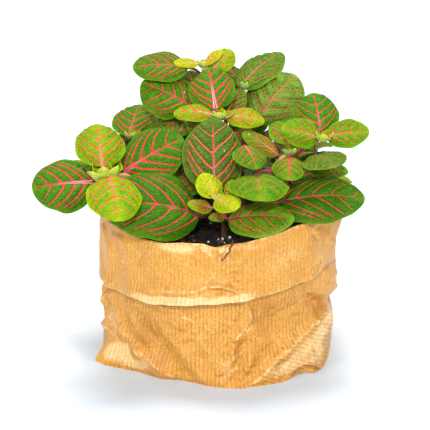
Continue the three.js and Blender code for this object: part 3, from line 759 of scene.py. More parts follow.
def blade_faces(rows, columns):
    """The faces of a blade's upper side, of its lower side and of its edge. Each side has its two
    ends as its first points, and then its grid."""
    def spot(i, j):
        return 2 + i * columns + j

    upper = [(0, spot(0, j), spot(0, j + 1)) for j in range(columns - 1)]
    upper += [(1, spot(rows - 1, j + 1), spot(rows - 1, j)) for j in range(columns - 1)]
    for i in range(rows - 1):
        for j in range(columns - 1):
            upper.append((spot(i, j), spot(i + 1, j), spot(i + 1, j + 1), spot(i, j + 1)))
    half = spot(rows, 0)
    lower = [tuple(index + half for index in reversed(face)) for face in upper]
    line = [0, *(spot(i, 0) for i in range(rows)), 1]
    line += [spot(i, columns - 1) for i in reversed(range(rows))]
    return upper, lower, [(a, a + half, b + half, b) for a, b in zip(line, line[1:] + line[:1])]


def add_leaf(body, leaf, detail):
    """One blade with its quilting, and what its shader needs to draw the veins. Its rows are
    closer together near its ends, and its columns near its margins."""
    rows, columns = max(14, int(46 * detail)), 2 * max(6, int(17 * detail)) + 1
    t = np.linspace(0, 1, rows + 2)[1:-1]
    u = 0.6 * (1 - np.cos(np.pi * t)) / 2 + 0.4 * t
    s = np.linspace(-1, 1, columns)
    w = 0.45 * np.sin(np.pi / 2 * s) + 0.55 * s
    grid_u, grid_w = np.meshgrid(u, w, indexing="ij")
    smooth = blade_points(leaf, grid_u, grid_w)
    phase = vein_phase(leaf, grid_u, grid_w)
    gap = gap_between(smooth, phase, u, w)
    points, normal = quilted(leaf, smooth, grid_u, grid_w, phase)
    thick = LEAF_THICKNESS / 2 * (1 - 0.45 * np.abs(grid_w) ** 4)[..., None]
    tips = blade_points(leaf, np.array([0.0, 1.0]), np.zeros(2))
    lift = leaf_axes(leaf)[2] * 0.1
    upper = np.concatenate([tips + lift, (points + normal * thick).reshape(-1, 3)])
    lower = np.concatenate([tips - lift, (points - normal * thick).reshape(-1, 3)])

    out = np.abs(grid_w) * leaf_outline(grid_u)
    half_vein, half_fork, half_rib = vein_widths(leaf, grid_u, grid_w, phase)
    spread = 0.42 * smooth_step(out, 0.5, 1.0)  # how far a fork leaves its lateral
    margin = leaf["wide"] / 2 * leaf_outline(grid_u) * (1 - np.abs(grid_w))
    margin = np.minimum(margin, leaf["long"] * (1 - grid_u) * 0.8 + 0.2)
    blush = leaf["blush"] * (1 - smooth_step(grid_u, 0.1, 0.75))

    def both(*channels, ends):
        """Three channels at each point of the upper side, and again of the lower one."""
        grid = np.stack(np.broadcast_arrays(*channels), axis=-1).reshape(-1, 3)
        return np.concatenate([ends, grid, ends, grid])

    kind = [leaf["age"], leaf["tint"]]
    top, under, edge = blade_faces(rows, columns)
    body.add(
        np.concatenate([upper, lower]),
        top + under + edge,
        [FRONT] * len(top) + [BACK] * len(under) + [FRONT] * len(edge),
        lateral=both(phase, gap, half_vein, ends=[(0.5, 5, 0)] * 2),
        fork=both(phase - spread, gap, half_fork, ends=[(0.5, 5, 0)] * 2),
        midrib=both(out * leaf["wide"] / 2, half_rib, blush, ends=[(0, 0.4, leaf["blush"]), (0, 0, 0)]),
        tone=both(*kind, margin, ends=[(*kind, 1.0), (*kind, 0.0)]),
    )


def grown(leaf, name):
    """The leaf with the small ways in which it differs from its neighbours."""
    rng = random_for(name)
    age, long = leaf["age"], leaf["long"]
    lopsided, ripple = rng.uniform(-0.03, 0.03), rng.uniform(0, 0.022)
    ripple_start, twist = rng.uniform(), rng.uniform(-0.12, 0.12)
    usual = {
        "uneven": (lopsided, ripple, ripple_start, twist),
        "fold": LEAF_FOLD,
        "sag": LEAF_SAG,
        "seed": int(rng.integers(9999)),
        "laterals": 3.9 + 2.3 * min(1, long / 55) + rng.uniform(-0.3, 0.3),
        "first": rng.uniform(0.25, 0.5),
        "sweep": rng.uniform(0.24, 0.32),
        "arching": rng.uniform(0.24, 0.32),
        "quilt": min(0.75, 0.02 * leaf["wide"] + 0.08) * rng.uniform(0.85, 1.15),
        "vein": min(0.44, 0.16 + 0.0075 * long) * rng.uniform(0.85, 1.1),
        "rib": min(1.0, 0.24 + 0.019 * long) * rng.uniform(0.9, 1.1),
        "forks": 1.0 if long > 26 else 0.0,
        "tint": rng.uniform(-1, 1),
        "blush": max(0.0, 0.7 - 0.7 * age) + rng.uniform(0, 0.25),
    }
    return {**usual, **leaf}


def stem_at(shoot, t):
    """Points of the stem's bend, t from the straight part to the bud."""
    start = np.array([*shoot["root"], STEM_STRAIGHT], float)
    t = np.asarray(t, float)[..., None]
    bend, bud = np.array(shoot["bend"], float), np.array(shoot["bud"], float)
    return (1 - t) ** 2 * start + 2 * t * (1 - t) * bend + t * t * bud


def add_stem(body, shoot):
    """The stem, a little swollen at its nodes, brown at the soil and young at its tip. Gives the
    points and the radii of its bend."""
    straight, sides = 7, 10
    t = np.linspace(0, 1, TUBE_STEPS)
    heights = np.linspace(STEM_FOOT, STEM_STRAIGHT - 1, straight)
    points = np.concatenate([[[*shoot["root"], z] for z in heights], stem_at(shoot, t)])
    run = np.concatenate([np.zeros(straight), t])
    radii = shoot["thick"] * (0.92 - 0.42 * run)
    for at, _ in shoot["nodes"]:
        radii = radii * (1 + 0.22 * np.exp(-(((run - at) / 0.035) ** 2)))
    line, faces = tube(points, radii, sides)
    young = np.repeat(smooth_step(run, 0.35, 1.0), sides)
    soil = np.repeat(1 - smooth_step(points[:, 2], SOIL_LEVEL, SOIL_LEVEL + 12), sides)
    body.add(line, faces, SKIN, skin=np.stack([np.full_like(young, 0.9), young, soil], axis=-1))
    return points[straight:], radii[straight:]


def add_stalk(body, leaf, start):
    """The stalk, which runs on under the blade as its midrib. Gives the points and the radii of
    its first part, which carries hairs."""
    shown = 12
    foot = np.array(leaf["foot"], float)
    middle = (start + foot) / 2 + np.array([0, 0, STALK_BOW * np.linalg.norm(foot - start)])
    up = leaf_axes(leaf)[2]
    u = np.array([0.06, 0.2, 0.4, 0.6, 0.78, 0.9])
    under = blade_points(leaf, u, np.zeros(len(u))) - up * 0.42
    points = line_through([start, middle, foot - up * 0.25, *under], TUBE_STEPS)
    thin = 0.5 if leaf["long"] < 12 else 0.75 if leaf["long"] < 26 else 1
    taper = [[share] for share in (1, 0.95, 0.9, 0.72, 0.6, 0.5, 0.4, 0.3, 0.2)]
    radii = line_through(taper, TUBE_STEPS)[:, 0] * thin * STALK_RADIUS
    line, faces = tube(points, radii)
    young = np.clip(0.75 - leaf["age"], 0.0, 0.8)
    body.add(line, faces, SKIN, skin=(1.0, young, 0.0))
    return points[:shown], radii[:shown]


def add_hairs(body, rng, points, radii, count, length):
    """Fine hairs that stand off a tube, each a slim cone with three sides."""
    along = unit(np.gradient(points, axis=0))
    for _ in range(count):
        k = rng.integers(0, len(points) - 1)
        share = rng.uniform()
        centre = points[k] * (1 - share) + points[k + 1] * share
        out = unit(np.cross(along[k], rng.normal(size=3)))
        foot = centre + out * radii[k] * 0.9
        side = unit(np.cross(out, along[k]))
        tip = foot + (out + rng.normal(size=3) * 0.3) * length * rng.uniform(0.6, 1.2)
        base = [foot + way * HAIR_RADIUS for way in (side, -side, along[k])]
        body.add([*base, tip], [(0, 2, 1), (0, 1, 3), (1, 2, 3), (2, 0, 3)], HAIR)


def add_bud(body, shoot):
    """Three pairs of tiny cupped leaves round the tip, each more closed than the one outside it."""
    long, age, rise = shoot["young"]
    bud = np.array(shoot["bud"], float)
    rng = random_for("bud " + shoot["name"])
    start = rng.uniform(0, 90)
    for pair, (share, steep) in enumerate([(1.0, 0), (0.8, 18), (0.58, 36)]):
        for side in (0, 180):
            turn = start + 90 * pair + side + rng.uniform(-10, 10)
            cosine, sine = turned(turn)
            foot = bud + np.array([cosine * 0.7 * share, sine * 0.7 * share, -0.22 * long])
            size = long * share
            tiny = leaf(foot, turn, min(84, rise + steep), size, 1.15 * size, arch=-100, age=age)
            tiny |= {"fold": 0.4, "sag": -0.1, "quilt": 0.12, "vein": 0.1, "rib": 0.2, "forks": 0.0}
            add_leaf(body, grown(tiny, f"{shoot['name']} bud {pair} {side}"), 0.34)


def build_shoot(shoot, front, back, skin, hair):
    """A shoot's stem with its stalks, hairs and bud, and each of its leaves as a piece."""
    node = "leafy_stem_" + shoot["name"]
    rng = random_for(node)
    stem = Body()
    points, radii = add_stem(stem, shoot)
    add_hairs(stem, rng, points, radii, 90, 1.0)
    for i, (at, leaves) in enumerate(shoot["nodes"]):
        for j, each in enumerate(leaves):
            name = f"leaf_{shoot['name']}_{i + 1}_{j + 1}"
            each = grown(each, name)
            blade = Body()
            add_leaf(blade, each, 0.55 + 0.45 * min(1, each["long"] / 34))
            blade.make(name, [front, back], node)
            add_hairs(stem, rng, *add_stalk(stem, each, stem_at(shoot, at)), 14, 0.8)
    add_bud(stem, shoot)
    stem.make("stem_" + shoot["name"], [front, back, skin, hair], node)


# The paper bag, as lines all round it, as creases, and as patches of painted highlight and shade
rim_radius = around(
    (0, 69), (45, 65.6), (90, 63.4), (135, 65.2), (180, 67.6), (225, 65.2), (270, 63.4), (315, 66)
)
# How far the rim lies below BAG_HEIGHT.
rim_dip = straight_around(
    (0, 0), (60, 0.8), (120, 0), (180, 0.6), (212, 1.4), (224, 2.6), (243, 2.6), (251, 1.0), (262, 0.7),
    (268, 2.8), (274, 0.9), (282, 0.3), (294, -2.3), (306, -4.8), (318, -5.6), (332, -4.6), (348, -1.6),
)
foot_radius = straight_around(
    (0, 66), (12, 68), (23, 74), (33, 69), (45, 66), (60, 62), (75, 61), (90, 64), (103, 67),
    (118, 62.5), (135, 64), (155, 68), (180, 69), (196, 70), (203, 78.6), (209, 75.2), (216, 69.4),
    (224, 64.5), (234, 63.2), (239, 63.6), (247, 59.5), (256, 60.2), (265, 63.5), (281, 67.2),
    (289, 65.9), (302, 67.3), (313, 66.4), (317, 67.9), (319, 72.2), (327, 70.8), (335, 68.6), (350, 66),
)
# Below this height the wall is a flat facet that runs out to the folded foot.
facet_height = straight_around(
    (0, 22), (12, 22), (23, 34), (35, 22), (50, 8), (75, 10), (103, 24), (120, 9), (150, 14), (180, 12),
    (196, 11), (203, 19), (209, 21), (216, 20), (224, 15), (234, 9), (242, 8), (256, 12), (268, 5),
    (283, 2), (293, 10), (304, 18.5), (315, 24.5), (325, 29.5), (344, 31.5), (352, 28),
)
hem_height = straight_around(
    (0, 54), (45, 55), (90, 54), (135, 49), (180, 44), (204, 46.5), (222, 48.5), (238, 49.5), (261, 53),
    (284, 54.5), (296, 56), (309, 57.5), (318, 59.5), (332, 60.5), (345, 58),
)
# How far the hem of the cuff turns out, where it was pressed by hand, and in, where it is tucked.
hem_curl = straight_around(
    (0, -1.4), (25, 0.2), (60, 0.6), (90, 0.9), (120, 0.3), (180, 0.0), (225, 0.3), (236, 1.0),
    (250, 1.5), (268, 1.3), (281, 1.2), (288, 0.1), (315, 0.0), (330, -0.6), (345, -1.5),
)
# How far the foot is folded up off the ground at the front right corner and behind.
foot_lift = straight_around(
    (0, 0), (16, 0), (21, 2.2), (26, 0), (99, 0), (104, 2.0), (108, 0), (306, 0), (312, 2.2), (318, 3.2),
    (323, 0.4), (325, 0),
)

# Creases: where each starts and ends (angle, height), how wide its slopes are to the left and
# right of that direction, how far it stands out (or in, below 0), in millimetres, and the strength
# of its pale line, which is partly wear and partly painted highlight.
WALL_CREASES = [
    ((344, 31.6), (325, 29.5), 4, 6, 1.0, 0.6),
    ((325, 29.5), (304, 18.5), 6, 4, 1.1, 0.6),
    ((304, 18.5), (285, 1), 6, 4, 1.1, 0.7),
    ((346, 50), (360, 33), 6, 6, 0.8, 0.3),
    ((330, 36), (366, 25), 7, 6, -2.4, 0.2),
    ((322, 44), (340, 33), 4, 5, -1.5, 0.2),
    ((334, 56), (342, 42), 5, 6, 1.1, 0.3),
    ((316, 56), (322, 44), 5, 6, -0.7, 0),
    ((338, 29), (344, 14), 5, 7, 1.0, 0.4),
    ((326, 26), (338, 16), 5, 5, 0.7, 0.3),
    ((344, 14), (360, 10), 5, 5, -1.2, 0),
    ((283, 52), (286, 42), 2.5, 6, 1.0, 0.5),
    ((286, 42), (283, 35), 2.5, 5, 1.0, 0.7),
    ((283, 35), (279, 30), 2.5, 4, 0.9, 0.9),
    ((279, 30), (277, 20), 4, 3, 0.6, 0.1),
    ((290, 46), (300, 24), 9, 8, -1.2, 0),
    ((284, 26), (278, 19), 3, 4, -0.9, 0),
    ((278, 19), (271, 2), 4, 5, 1.0, 0.3),
    ((283, 18), (272, 6), 3, 3, -0.8, 0),
    ((286, 16), (281, 4), 3, 4, 0.5, 0.2),
    ((204, 38), (214, 24), 4, 8, 0.9, 0.2),
    ((214, 24), (226, 14), 3, 9, 1.1, 0.4),
    ((226, 14), (246, 4), 4, 8, 1.0, 0.7),
    ((224, 36), (240, 18), 9, 7, -1.4, 0),
    ((240, 18), (252, 6), 6, 5, -1.0, 0),
    ((232, 24), (238, 21), 2, 2, 0.4, 0.5),
    ((245, 42), (252, 20), 8, 8, 0.7, 0),
    ((252, 20), (262, 4), 5, 6, 0.7, 0.2),
    ((187, 27), (199, 39), 3, 4, 1.1, 0.8),
    ((199, 39), (206, 42), 3, 3, 0.6, 0.2),
    ((184, 13), (201, 17.5), 2.5, 3.5, 1.1, 1.0),
    ((191, 38), (196, 20), 4, 5, 0.9, 0.2),
    ((252, 41), (258, 38), 2, 2, 0.3, 0.5),
    ((20, 50), (35, 30), 5, 7, 1.0, 0.3),
    ((35, 30), (24, 8), 6, 5, 1.0, 0.3),
    ((60, 48), (75, 22), 8, 6, -1.2, 0.1),
    ((75, 22), (98, 8), 6, 6, 1.0, 0.4),
    ((110, 45), (104, 20), 6, 7, 1.0, 0.3),
    ((128, 40), (150, 22), 6, 6, -1.0, 0.1),
    ((150, 22), (172, 18), 5, 4, 0.9, 0.4),
]
CUFF_CREASES = [
    ((266, 86), (271, 80), 3, 4, -1.2, 0.2),
    ((271, 80), (277, 75), 3, 4, -0.7, 0.2),
    ((274, 87), (270, 80), 2, 2.5, 0.8, 0.9),
    ((262, 83), (267, 79), 2, 3, 0.5, 0.6),
    ((238, 86), (264, 85), 2, 4, 0.9, 0.5),
    ((236, 56), (258, 59.5), 6, 3, 0.6, 0.4),
    ((258, 59.5), (267, 63), 3, 3, 0.9, 0.8),
    ((267, 63), (274, 62), 2.5, 3, 1.0, 0.9),
    ((274, 62), (283, 57), 3, 3, 0.9, 0.6),
    ((264, 57), (271, 60), 2, 2, -0.6, 0.2),
    ((271, 60), (278, 56), 2, 2, -0.5, 0.2),
    ((266, 55), (272, 57), 1.5, 2, 0.5, 0.8),
    ((277, 73), (290, 71), 4, 4, 0.5, 0.1),
    ((300, 80), (318, 62), 9, 9, -0.5, 0),
    ((315, 58), (330, 66), 4, 5, 1.0, 0.6),
    ((330, 66), (342, 62), 4, 4, -0.8, 0.3),
    ((344, 80), (350, 66), 4, 4, -1.4, 0.3),
    ((332, 74), (350, 68), 4, 6, 0.8, 0.4),
    ((196, 80), (206, 70), 4, 4, 0.6, 0.2),
    ((188, 62), (198, 52), 5, 4, -0.7, 0.1),
    ((214, 82), (226, 66), 8, 8, 0.4, 0),
    ((12, 80), (30, 68), 6, 6, 0.9, 0.3),
    ((45, 64), (80, 60), 6, 4, 0.8, 0.4),
    ((95, 84), (104, 62), 5, 6, -1.0, 0.2),
    ((130, 78), (150, 60), 6, 6, 0.9, 0.3),
]
# Painted highlights (above 0), which are also made shinier, and painted shade (below 0), where the
# paper faces the light or turns from it: the middle of each patch (angle, height), its half sizes in
# degrees and millimetres, and how strong it is.
WALL_PAINTED_LIGHT = [
    ((214, 9), (9, 7), 1.1), ((224, 6), (10, 4.5), 0.9), ((205, 24), (8, 12), 0.5),
    ((229, 27), (9, 12), -0.8), ((240, 12), (6, 9), -0.7), ((219, 40), (9, 6), -0.4),
    ((293, 38), (9, 13), -0.7), ((280, 22), (4, 5), -0.9), ((303, 48), (12, 6), -0.3),
    ((262, 26), (12, 18), 0.25), ((272, 10), (5, 8), 0.45), ((283, 33), (2, 3), 0.9),
    ((318, 12), (16, 11), 0.75), ((330, 22), (10, 7), 0.8), ((303, 8), (10, 5), 0.6),
    ((338, 28), (5, 4), 0.8), ((334, 45), (8, 5), -0.1), ((342, 40), (5, 4), -0.2),
    ((348, 24), (10, 9), 0.7), ((345, 46), (8, 8), 0.4),
]
CUFF_PAINTED_LIGHT = [
    ((247, 82), (12, 4.0), 0.85), ((263, 83), (4, 3.4), 0.8), ((274, 83), (3, 4), 0.6),
    ((282, 84), (12, 1.6), 0.4), ((215, 82), (10, 3), -0.2), ((240, 70), (18, 6), -0.25),
    ((300, 74), (16, 9), 0.3), ((330, 66), (10, 5), 0.35), ((343, 72), (5, 9), -0.4),
    ((266, 66), (10, 3), 0.3),
]


def add_small_creases(creases, seed, count, low, high):
    """The creases, and short shallow ones all round between two heights."""
    rng = np.random.default_rng(seed)
    found = list(creases)
    for _ in range(count):
        angle, height = rng.uniform(0, 360), rng.uniform(low, high)
        heading, length = rng.uniform(-80, 80), rng.uniform(4, 14)
        run, climb = (part * length for part in turned(heading))
        widths = rng.uniform(1.5, 5, 2)
        rise, wear = rng.uniform(-0.5, 0.5), rng.uniform(0, 0.8) ** 3
        found.append(((angle, height), (angle + run / DEGREE, height + climb), *widths, rise, wear))
    return found


WALL = add_small_creases(WALL_CREASES, 8, 70, 4, 60)
CUFF = add_small_creases(CUFF_CREASES, 9, 40, 56, 84)


def creased(angle, height, creases):
    """How far creases push a sheet out at each point, and how pale their lines are there, 0 to 1: partly wear
    and partly painted highlight.
    """
    push, crease_wear_and_highlight = np.zeros_like(angle), np.zeros_like(angle)
    for (a0, h0), (a1, h1), left, right, rise, wear in creases:
        run, climb = (a1 - a0) * DEGREE, h1 - h0
        length = math.hypot(run, climb)
        x = ((angle - a0 + 180) % 360 - 180) * DEGREE
        y = height - h0
        share = np.clip((x * run + y * climb) / length**2, 0, 1)
        dx, dy = x - share * run, y - share * climb
        apart = np.hypot(dx, dy)
        wide = np.where(dy * run - dx * climb > 0, left, right)
        push += CREASE_DEPTH * rise * np.clip(1 - apart / wide, 0, 1)
        crease_wear_and_highlight += wear * np.exp(-((apart / 0.55) ** 2))
    return push, np.clip(crease_wear_and_highlight, 0, 1)


def painted_light_at(angle, height, patches):
    """The painted light at each point: painted highlight above 0 and painted shade below 0, from -1 to 1."""
    painted_shading = np.zeros_like(angle)
    wander = 3 * value_noise(angle / 8, height / 5 + 5, 77, 45)
    for (middle, level), (half_angle, half_height), strength in patches:
        x = ((angle - middle + 180) % 360 - 180 + wander) / half_angle
        y = (height - level + wander * 0.5) / half_height
        painted_shading += strength * (1 - smooth_step(np.hypot(x, y), 0.45, 1.2))
    return np.clip(painted_shading, -1, 1)


def crumpled(angle, height, seed):
    """The unevenness of handled paper: flat facets that meet in low ridges, calmer at the left."""
    x, y = angle / 360, height / 1000
    broad = 1 - np.abs(value_noise(x * 22, y * 58 + 3, seed, 22)) * 2
    middle = 1 - np.abs(value_noise(x * 46, y * 120 + 3, seed + 1, 46)) * 2
    fine = value_noise(x * 120, y * 300 + 3, seed + 2, 120)
    calm_side = 1 - 0.6 * np.exp(-(((angle - 181) / 17) ** 2))
    return (0.9 * broad + 0.4 * middle) * calm_side + 0.08 * fine


def on_flap(angle):
    """1 where the corner of the bag is folded over as a flap, at the front right."""
    shown = smooth_step(angle, FLAP_START, FLAP_START + 5)
    return shown * (1 - smooth_step(angle, FLAP_END - 6, FLAP_END))


def wall_at(angle, height):
    """The outer radius of the bag's wall, and how pale its crease lines are: partly wear and partly painted
    highlight.
    """
    share = np.clip(height / BAG_HEIGHT, 0, 1)
    upper = rim_radius(angle) - WAIST * np.sin(np.pi * np.minimum(1, share * 1.15))
    upper = upper + WAVE_DEPTH * np.sin(5 * np.radians(angle) + 6 * share) * np.sin(np.pi * share)
    # The wall bulges at the left, below the cuff.
    upper = upper + 1.7 * np.exp(-(((angle - 191) / 22) ** 2)) * smooth_step(70 - height, 0, 25)
    facet = np.clip(1 - height / facet_height(angle), 0, 1)
    push, crease_wear_and_highlight = creased(angle, height, WALL)
    calm = smooth_step(height, 0, 3) * (1 - smooth_step(height, 76, 84))
    radius = upper + (foot_radius(angle) - upper) * facet**1.1
    folded_over = np.clip((facet_height(angle) - height) / 0.8, 0, 1) * on_flap(angle)
    return radius + 0.8 * folded_over + (push + crumpled(angle, height, 3)) * calm, crease_wear_and_highlight * calm


def paper():
    """Kraft paper: fine upright ribs, long fibres, pale crease lines that are partly wear and partly painted
    highlight, painted highlights and shade, and a slight gloss.
    """
    shader = Shader("kraft_paper", IOR=1.45)
    along, slanting, folded = shader.read("sheet")
    crease_wear_and_highlight, painted_shading, dark = shader.read("wear")
    height, _, _ = shader.read("level")

    # The ribs stand upright, but slant where the paper is folded over, and come and go.
    sway = shader.noise(22.0, 1.0)
    ribs = []
    for coordinate in (along, slanting):
        rib = shader.scaled(sway, 0.8, coordinate)
        rib = shader.math("PINGPONG", shader.math("DIVIDE", rib, RIB_PITCH), 0.5)
        ribs.append(shader.between(rib, 0.02, 0.3, 1.0, 0.0))
    slanted = shader.times(ribs[1], folded)
    upright = shader.times(ribs[0], shader.math("SUBTRACT", 1.0, folded))
    strength = shader.between(height, 50.0, 64.0, 0.5, 0.34)
    strength = shader.times(strength, shader.between(shader.noise(6.0, 3.0), 0.3, 0.6, 0.3, 1.0))
    rib = shader.times(shader.math("ADD", slanted, upright), strength)
    fibres = shader.noise(0.5, 3.0, shader.stretched(1.0, 1.0, 0.45))
    blotches = shader.noise(14.0, 4.0)
    colour = shader.mix(shader.between(fibres, 0.3, 0.7), (195, 130, 38), (231, 172, 77))
    colour = shader.mix(rib, colour, (148, 88, 22))
    colour = shader.mix(shader.between(blotches, 0.35, 0.7, 0.0, 0.35), colour, (196, 126, 40))

    # Painted highlights where the paper faces the light, with the ribs still showing, and painted shade where
    # it turns from it, broken up by noise.
    painted_light_and_shade = shader.scaled(shader.noise(1.9, 5.0), 1.7, -0.85)
    painted_light_and_shade = shader.math("ADD", painted_shading, painted_light_and_shade)
    pale = shader.between(painted_light_and_shade, 0.1, 1.1, 0.0, 0.58)
    pale = shader.times(pale, shader.between(rib, 0.0, 0.5, 1.0, 0.72))
    colour = shader.mix(pale, colour, (255, 224, 166))
    colour = shader.mix(shader.between(painted_light_and_shade, -0.15, -1.0, 0.0, 0.45), colour, (176, 108, 32))

    # Dark specks, painted glints along the fibres, pale crease lines (partly wear, partly painted highlight),
    # and painted shade in folds and under the hem.
    specks = shader.between(shader.noise(0.7, 2.0), 0.66, 0.76, 0.0, 0.35)
    colour = shader.mix(specks, colour, (120, 70, 24))
    painted_glints = shader.between(shader.noise(0.8, 2.0, shader.stretched(1.0, 1.0, 0.5)), 0.62, 0.74, 0.0, 0.4)
    colour = shader.mix(painted_glints, colour, (252, 214, 140))
    wear_and_highlight_lines = shader.times(crease_wear_and_highlight, shader.between(shader.noise(1.8, 3.0), 0.42, 0.6, 0.05, 0.9))
    colour = shader.mix(wear_and_highlight_lines, colour, (250, 224, 170))
    colour = shader.mix(dark, colour, (52, 28, 12))
    gloss = shader.between(painted_light_and_shade, 0.0, 0.9, 0.0, -0.1)
    rough = shader.math("ADD", shader.between(fibres, 0.3, 0.7, 0.36, 0.46), gloss)

    # Ribs are sunk a little, and handled places are broken into small facets.
    relief = shader.scaled(rib, -0.5, shader.times(fibres, 0.35))
    relief = shader.scaled(shader.noise(4.0, 4.0), 0.8, relief)
    handled = shader.between(shader.noise(24.0, 2.0), 0.4, 0.62)
    for size, deep in ((13.0, 6.0), (5.0, 2.2)):
        facets = shader.times(shader.cells(size, "DISTANCE_TO_EDGE"), deep)
        relief = shader.scaled(facets, handled, relief)
    shader.relief(relief, 0.65)
    return shader.finish(colour, rough)


def build_bag():
    """The bag, from the middle of its floor up inside, over the rim, down the cuff and its hem,
    up behind the cuff, and down the wall to the ground."""
    angle = np.arange(BAG_COLUMNS) * 360 / BAG_COLUMNS
    cosine, sine = turned(angle)
    slant = (angle - FLAP_START) * DEGREE * 0.45
    top = BAG_HEIGHT - rim_dip(angle)
    rings = []

    def ring(radius, height, crease_wear_and_highlight=0.0, shift=0.0, painted_shading=0.0, dark=0.0):
        """Adds a ring of points, with what the paper's shader reads there: pale crease lines, painted
        highlights and shade, and painted shade in folds. shift moves its ribs.
        """
        folded = smooth_step(facet_height(angle) - height, 0, 1.2) * on_flap(angle)
        place = (radius * cosine, radius * sine, height)
        sheet = (angle * DEGREE + shift, slant + height * 0.9, folded)
        parts = (place, sheet, (crease_wear_and_highlight, painted_shading, dark), (height, height, height))
        rings.append([np.stack([each + 0 * angle for each in part], axis=-1) for part in parts])

    floor = foot_radius(angle)
    for share in (0.02, 0.3, 0.6):
        ring(share * floor, PAPER)
    for height in np.linspace(PAPER, BAG_HEIGHT - 8, 20):
        radius, crease_wear_and_highlight = wall_at(angle, height + 0 * angle)
        ring(radius - PAPER * (1 + 0.6 * (height < 5)), height, crease_wear_and_highlight)
    edge, crease_wear_and_highlight = wall_at(angle, top - 1)
    for offset, drop in ((-PAPER, 4), (-PAPER, 1.6), (-PAPER * 0.6, 0.5), (0.1, 0.0)):
        ring(edge + offset, top - drop, 0.2)
    # The rim's fold is pale, partly wear and partly painted highlight.
    rim_wear_and_highlight = 0.3 + 0.5 * value_noise(angle / 360 * 40, 2.5, 7, 40)
    ring(edge + CUFF_AIR * 0.6, top + 0.1, rim_wear_and_highlight)
    ring(edge + CUFF_AIR + PAPER * 0.6, top - 0.35, rim_wear_and_highlight)

    # The outer face of the cuff, then its hem and its inner face.
    rough_hem = 0.35 * value_noise(angle / 360 * 90, 4.5, 11, 90)
    hem = hem_height(angle) + rough_hem
    plain, _ = wall_at(angle, angle * 0 + 74)

    def cuff_at(share):
        """The inner radius, the height and the wear of the cuff, share of the way to its hem."""
        height = top - 1.2 - share * (top - 1.2 - hem)
        base = edge * (1 - share) + plain * share
        push, crease_wear_and_highlight = creased(angle, height, CUFF)
        push = (push + crumpled(angle, height, 21)) * smooth_step(share, 0.02, 0.12)
        # Over its lower part the cuff is tucked in, and near its hem it is turned out.
        tucked = np.minimum(hem_curl(angle), 0) * max(0, share - 0.25) / 0.75 * 3.2
        turned_out = np.maximum(hem_curl(angle), 0) * max(0, share - 0.76) / 0.24 * 3.0
        return base + CUFF_AIR + CUFF_FLARE * share + push + tucked + turned_out, height, crease_wear_and_highlight

    for share in np.linspace(0, 1, 46):
        radius, height, crease_wear_and_highlight = cuff_at(share)
        # The hem line is pale, partly wear and partly painted highlight, and where the hem turns out a
        # painted highlight is added to the painted patches.
        crease_wear_and_highlight = np.maximum(crease_wear_and_highlight, 0.4 * max(0, share - 0.97) / 0.03)
        painted_hem_highlight = np.clip(hem_curl(angle), 0, 1) * smooth_step(4.6 - (height - hem), 0, 1.6)
        ring(radius + PAPER, height, crease_wear_and_highlight, 0, painted_light_at(angle, height, CUFF_PAINTED_LIGHT) + 1.3 * painted_hem_highlight)
    for share in (1, 0.93, 0.8, 0.6, 0.35, 0.1):
        radius, height, _ = cuff_at(share)
        ring(radius, height + (0.15 if share == 1 else 0), 0.2)
    ring(edge + CUFF_AIR * 0.3, top - PAPER - 0.6)
    ring(edge, top - PAPER - 1.0)

    # The wall behind the cuff and below it. Shade is painted under the hem, and in a slit at the foot
    # beside the folded corner, where the paper parts.
    for height in np.linspace(BAG_HEIGHT - 6, WALL_SHOWN + 4, 5):
        radius, crease_wear_and_highlight = wall_at(angle, height + 0 * angle)
        ring(radius, height, crease_wear_and_highlight)
    lift = foot_lift(angle)
    beside_corner = smooth_step(angle, 306, 312) * (1 - smooth_step(angle, 321, 325))
    for share in np.linspace(1, 0, 74):
        height = lift + (WALL_SHOWN - lift) * share
        radius, crease_wear_and_highlight = wall_at(angle, height)
        painted_shade_under_hem = 0.3 * (1 - smooth_step(hem - height, 0.3, 4)) * smooth_step(hem - height, -1, 0)
        slit = np.exp(-(((height - lift - 1.0) / 0.9) ** 2)) * beside_corner
        painted_shading = painted_light_at(angle, height, WALL_PAINTED_LIGHT)
        ring(radius - slit, height, crease_wear_and_highlight, 1.1, painted_shading, np.maximum(painted_shade_under_hem, 0.95 * slit))

    # Under the foot, where it is folded up off the ground, shade is painted inside the fold.
    dark = np.clip(lift / 1.5, 0, 1)
    ring(floor - 0.3, np.maximum(lift - 0.2, 0), dark=dark)
    ring(floor - 0.5 - 1.6 * lift, lift * 0.5, dark=dark)
    ring(floor - 0.6 - 2.2 * lift, 0.0, dark=dark)
    for share in (0.6, 0.3, 0.02):
        ring(share * floor, 0.0)

    # The rings start up the inside, where faces must look towards the middle: all are reversed.
    faces = [tuple(reversed(face)) for face in ring_faces(len(rings), BAG_COLUMNS)]
    points, sheet, wear, level = (np.concatenate(parts) for parts in zip(*rings))
    body = Body()
    body.add(points, faces, sheet=sheet, wear=wear, level=level)
    return body.make("kraft_bag", [paper()], "paper_bag", sharp=40)


# The nursery pot and its potting mix
def black_plastic():
    """Moulded plastic with a fine grain and dull scuffs."""
    shader = Shader("black_plastic", IOR=1.46)
    grain, scuffs = shader.noise(0.35, 2.0), shader.noise(9.0, 4.0)
    colour = shader.mix(shader.between(scuffs, 0.45, 0.7), (34, 32, 31), (58, 54, 50))
    shader.relief(grain, 0.05)
    return shader.finish(colour, shader.between(scuffs, 0.3, 0.7, 0.38, 0.6))


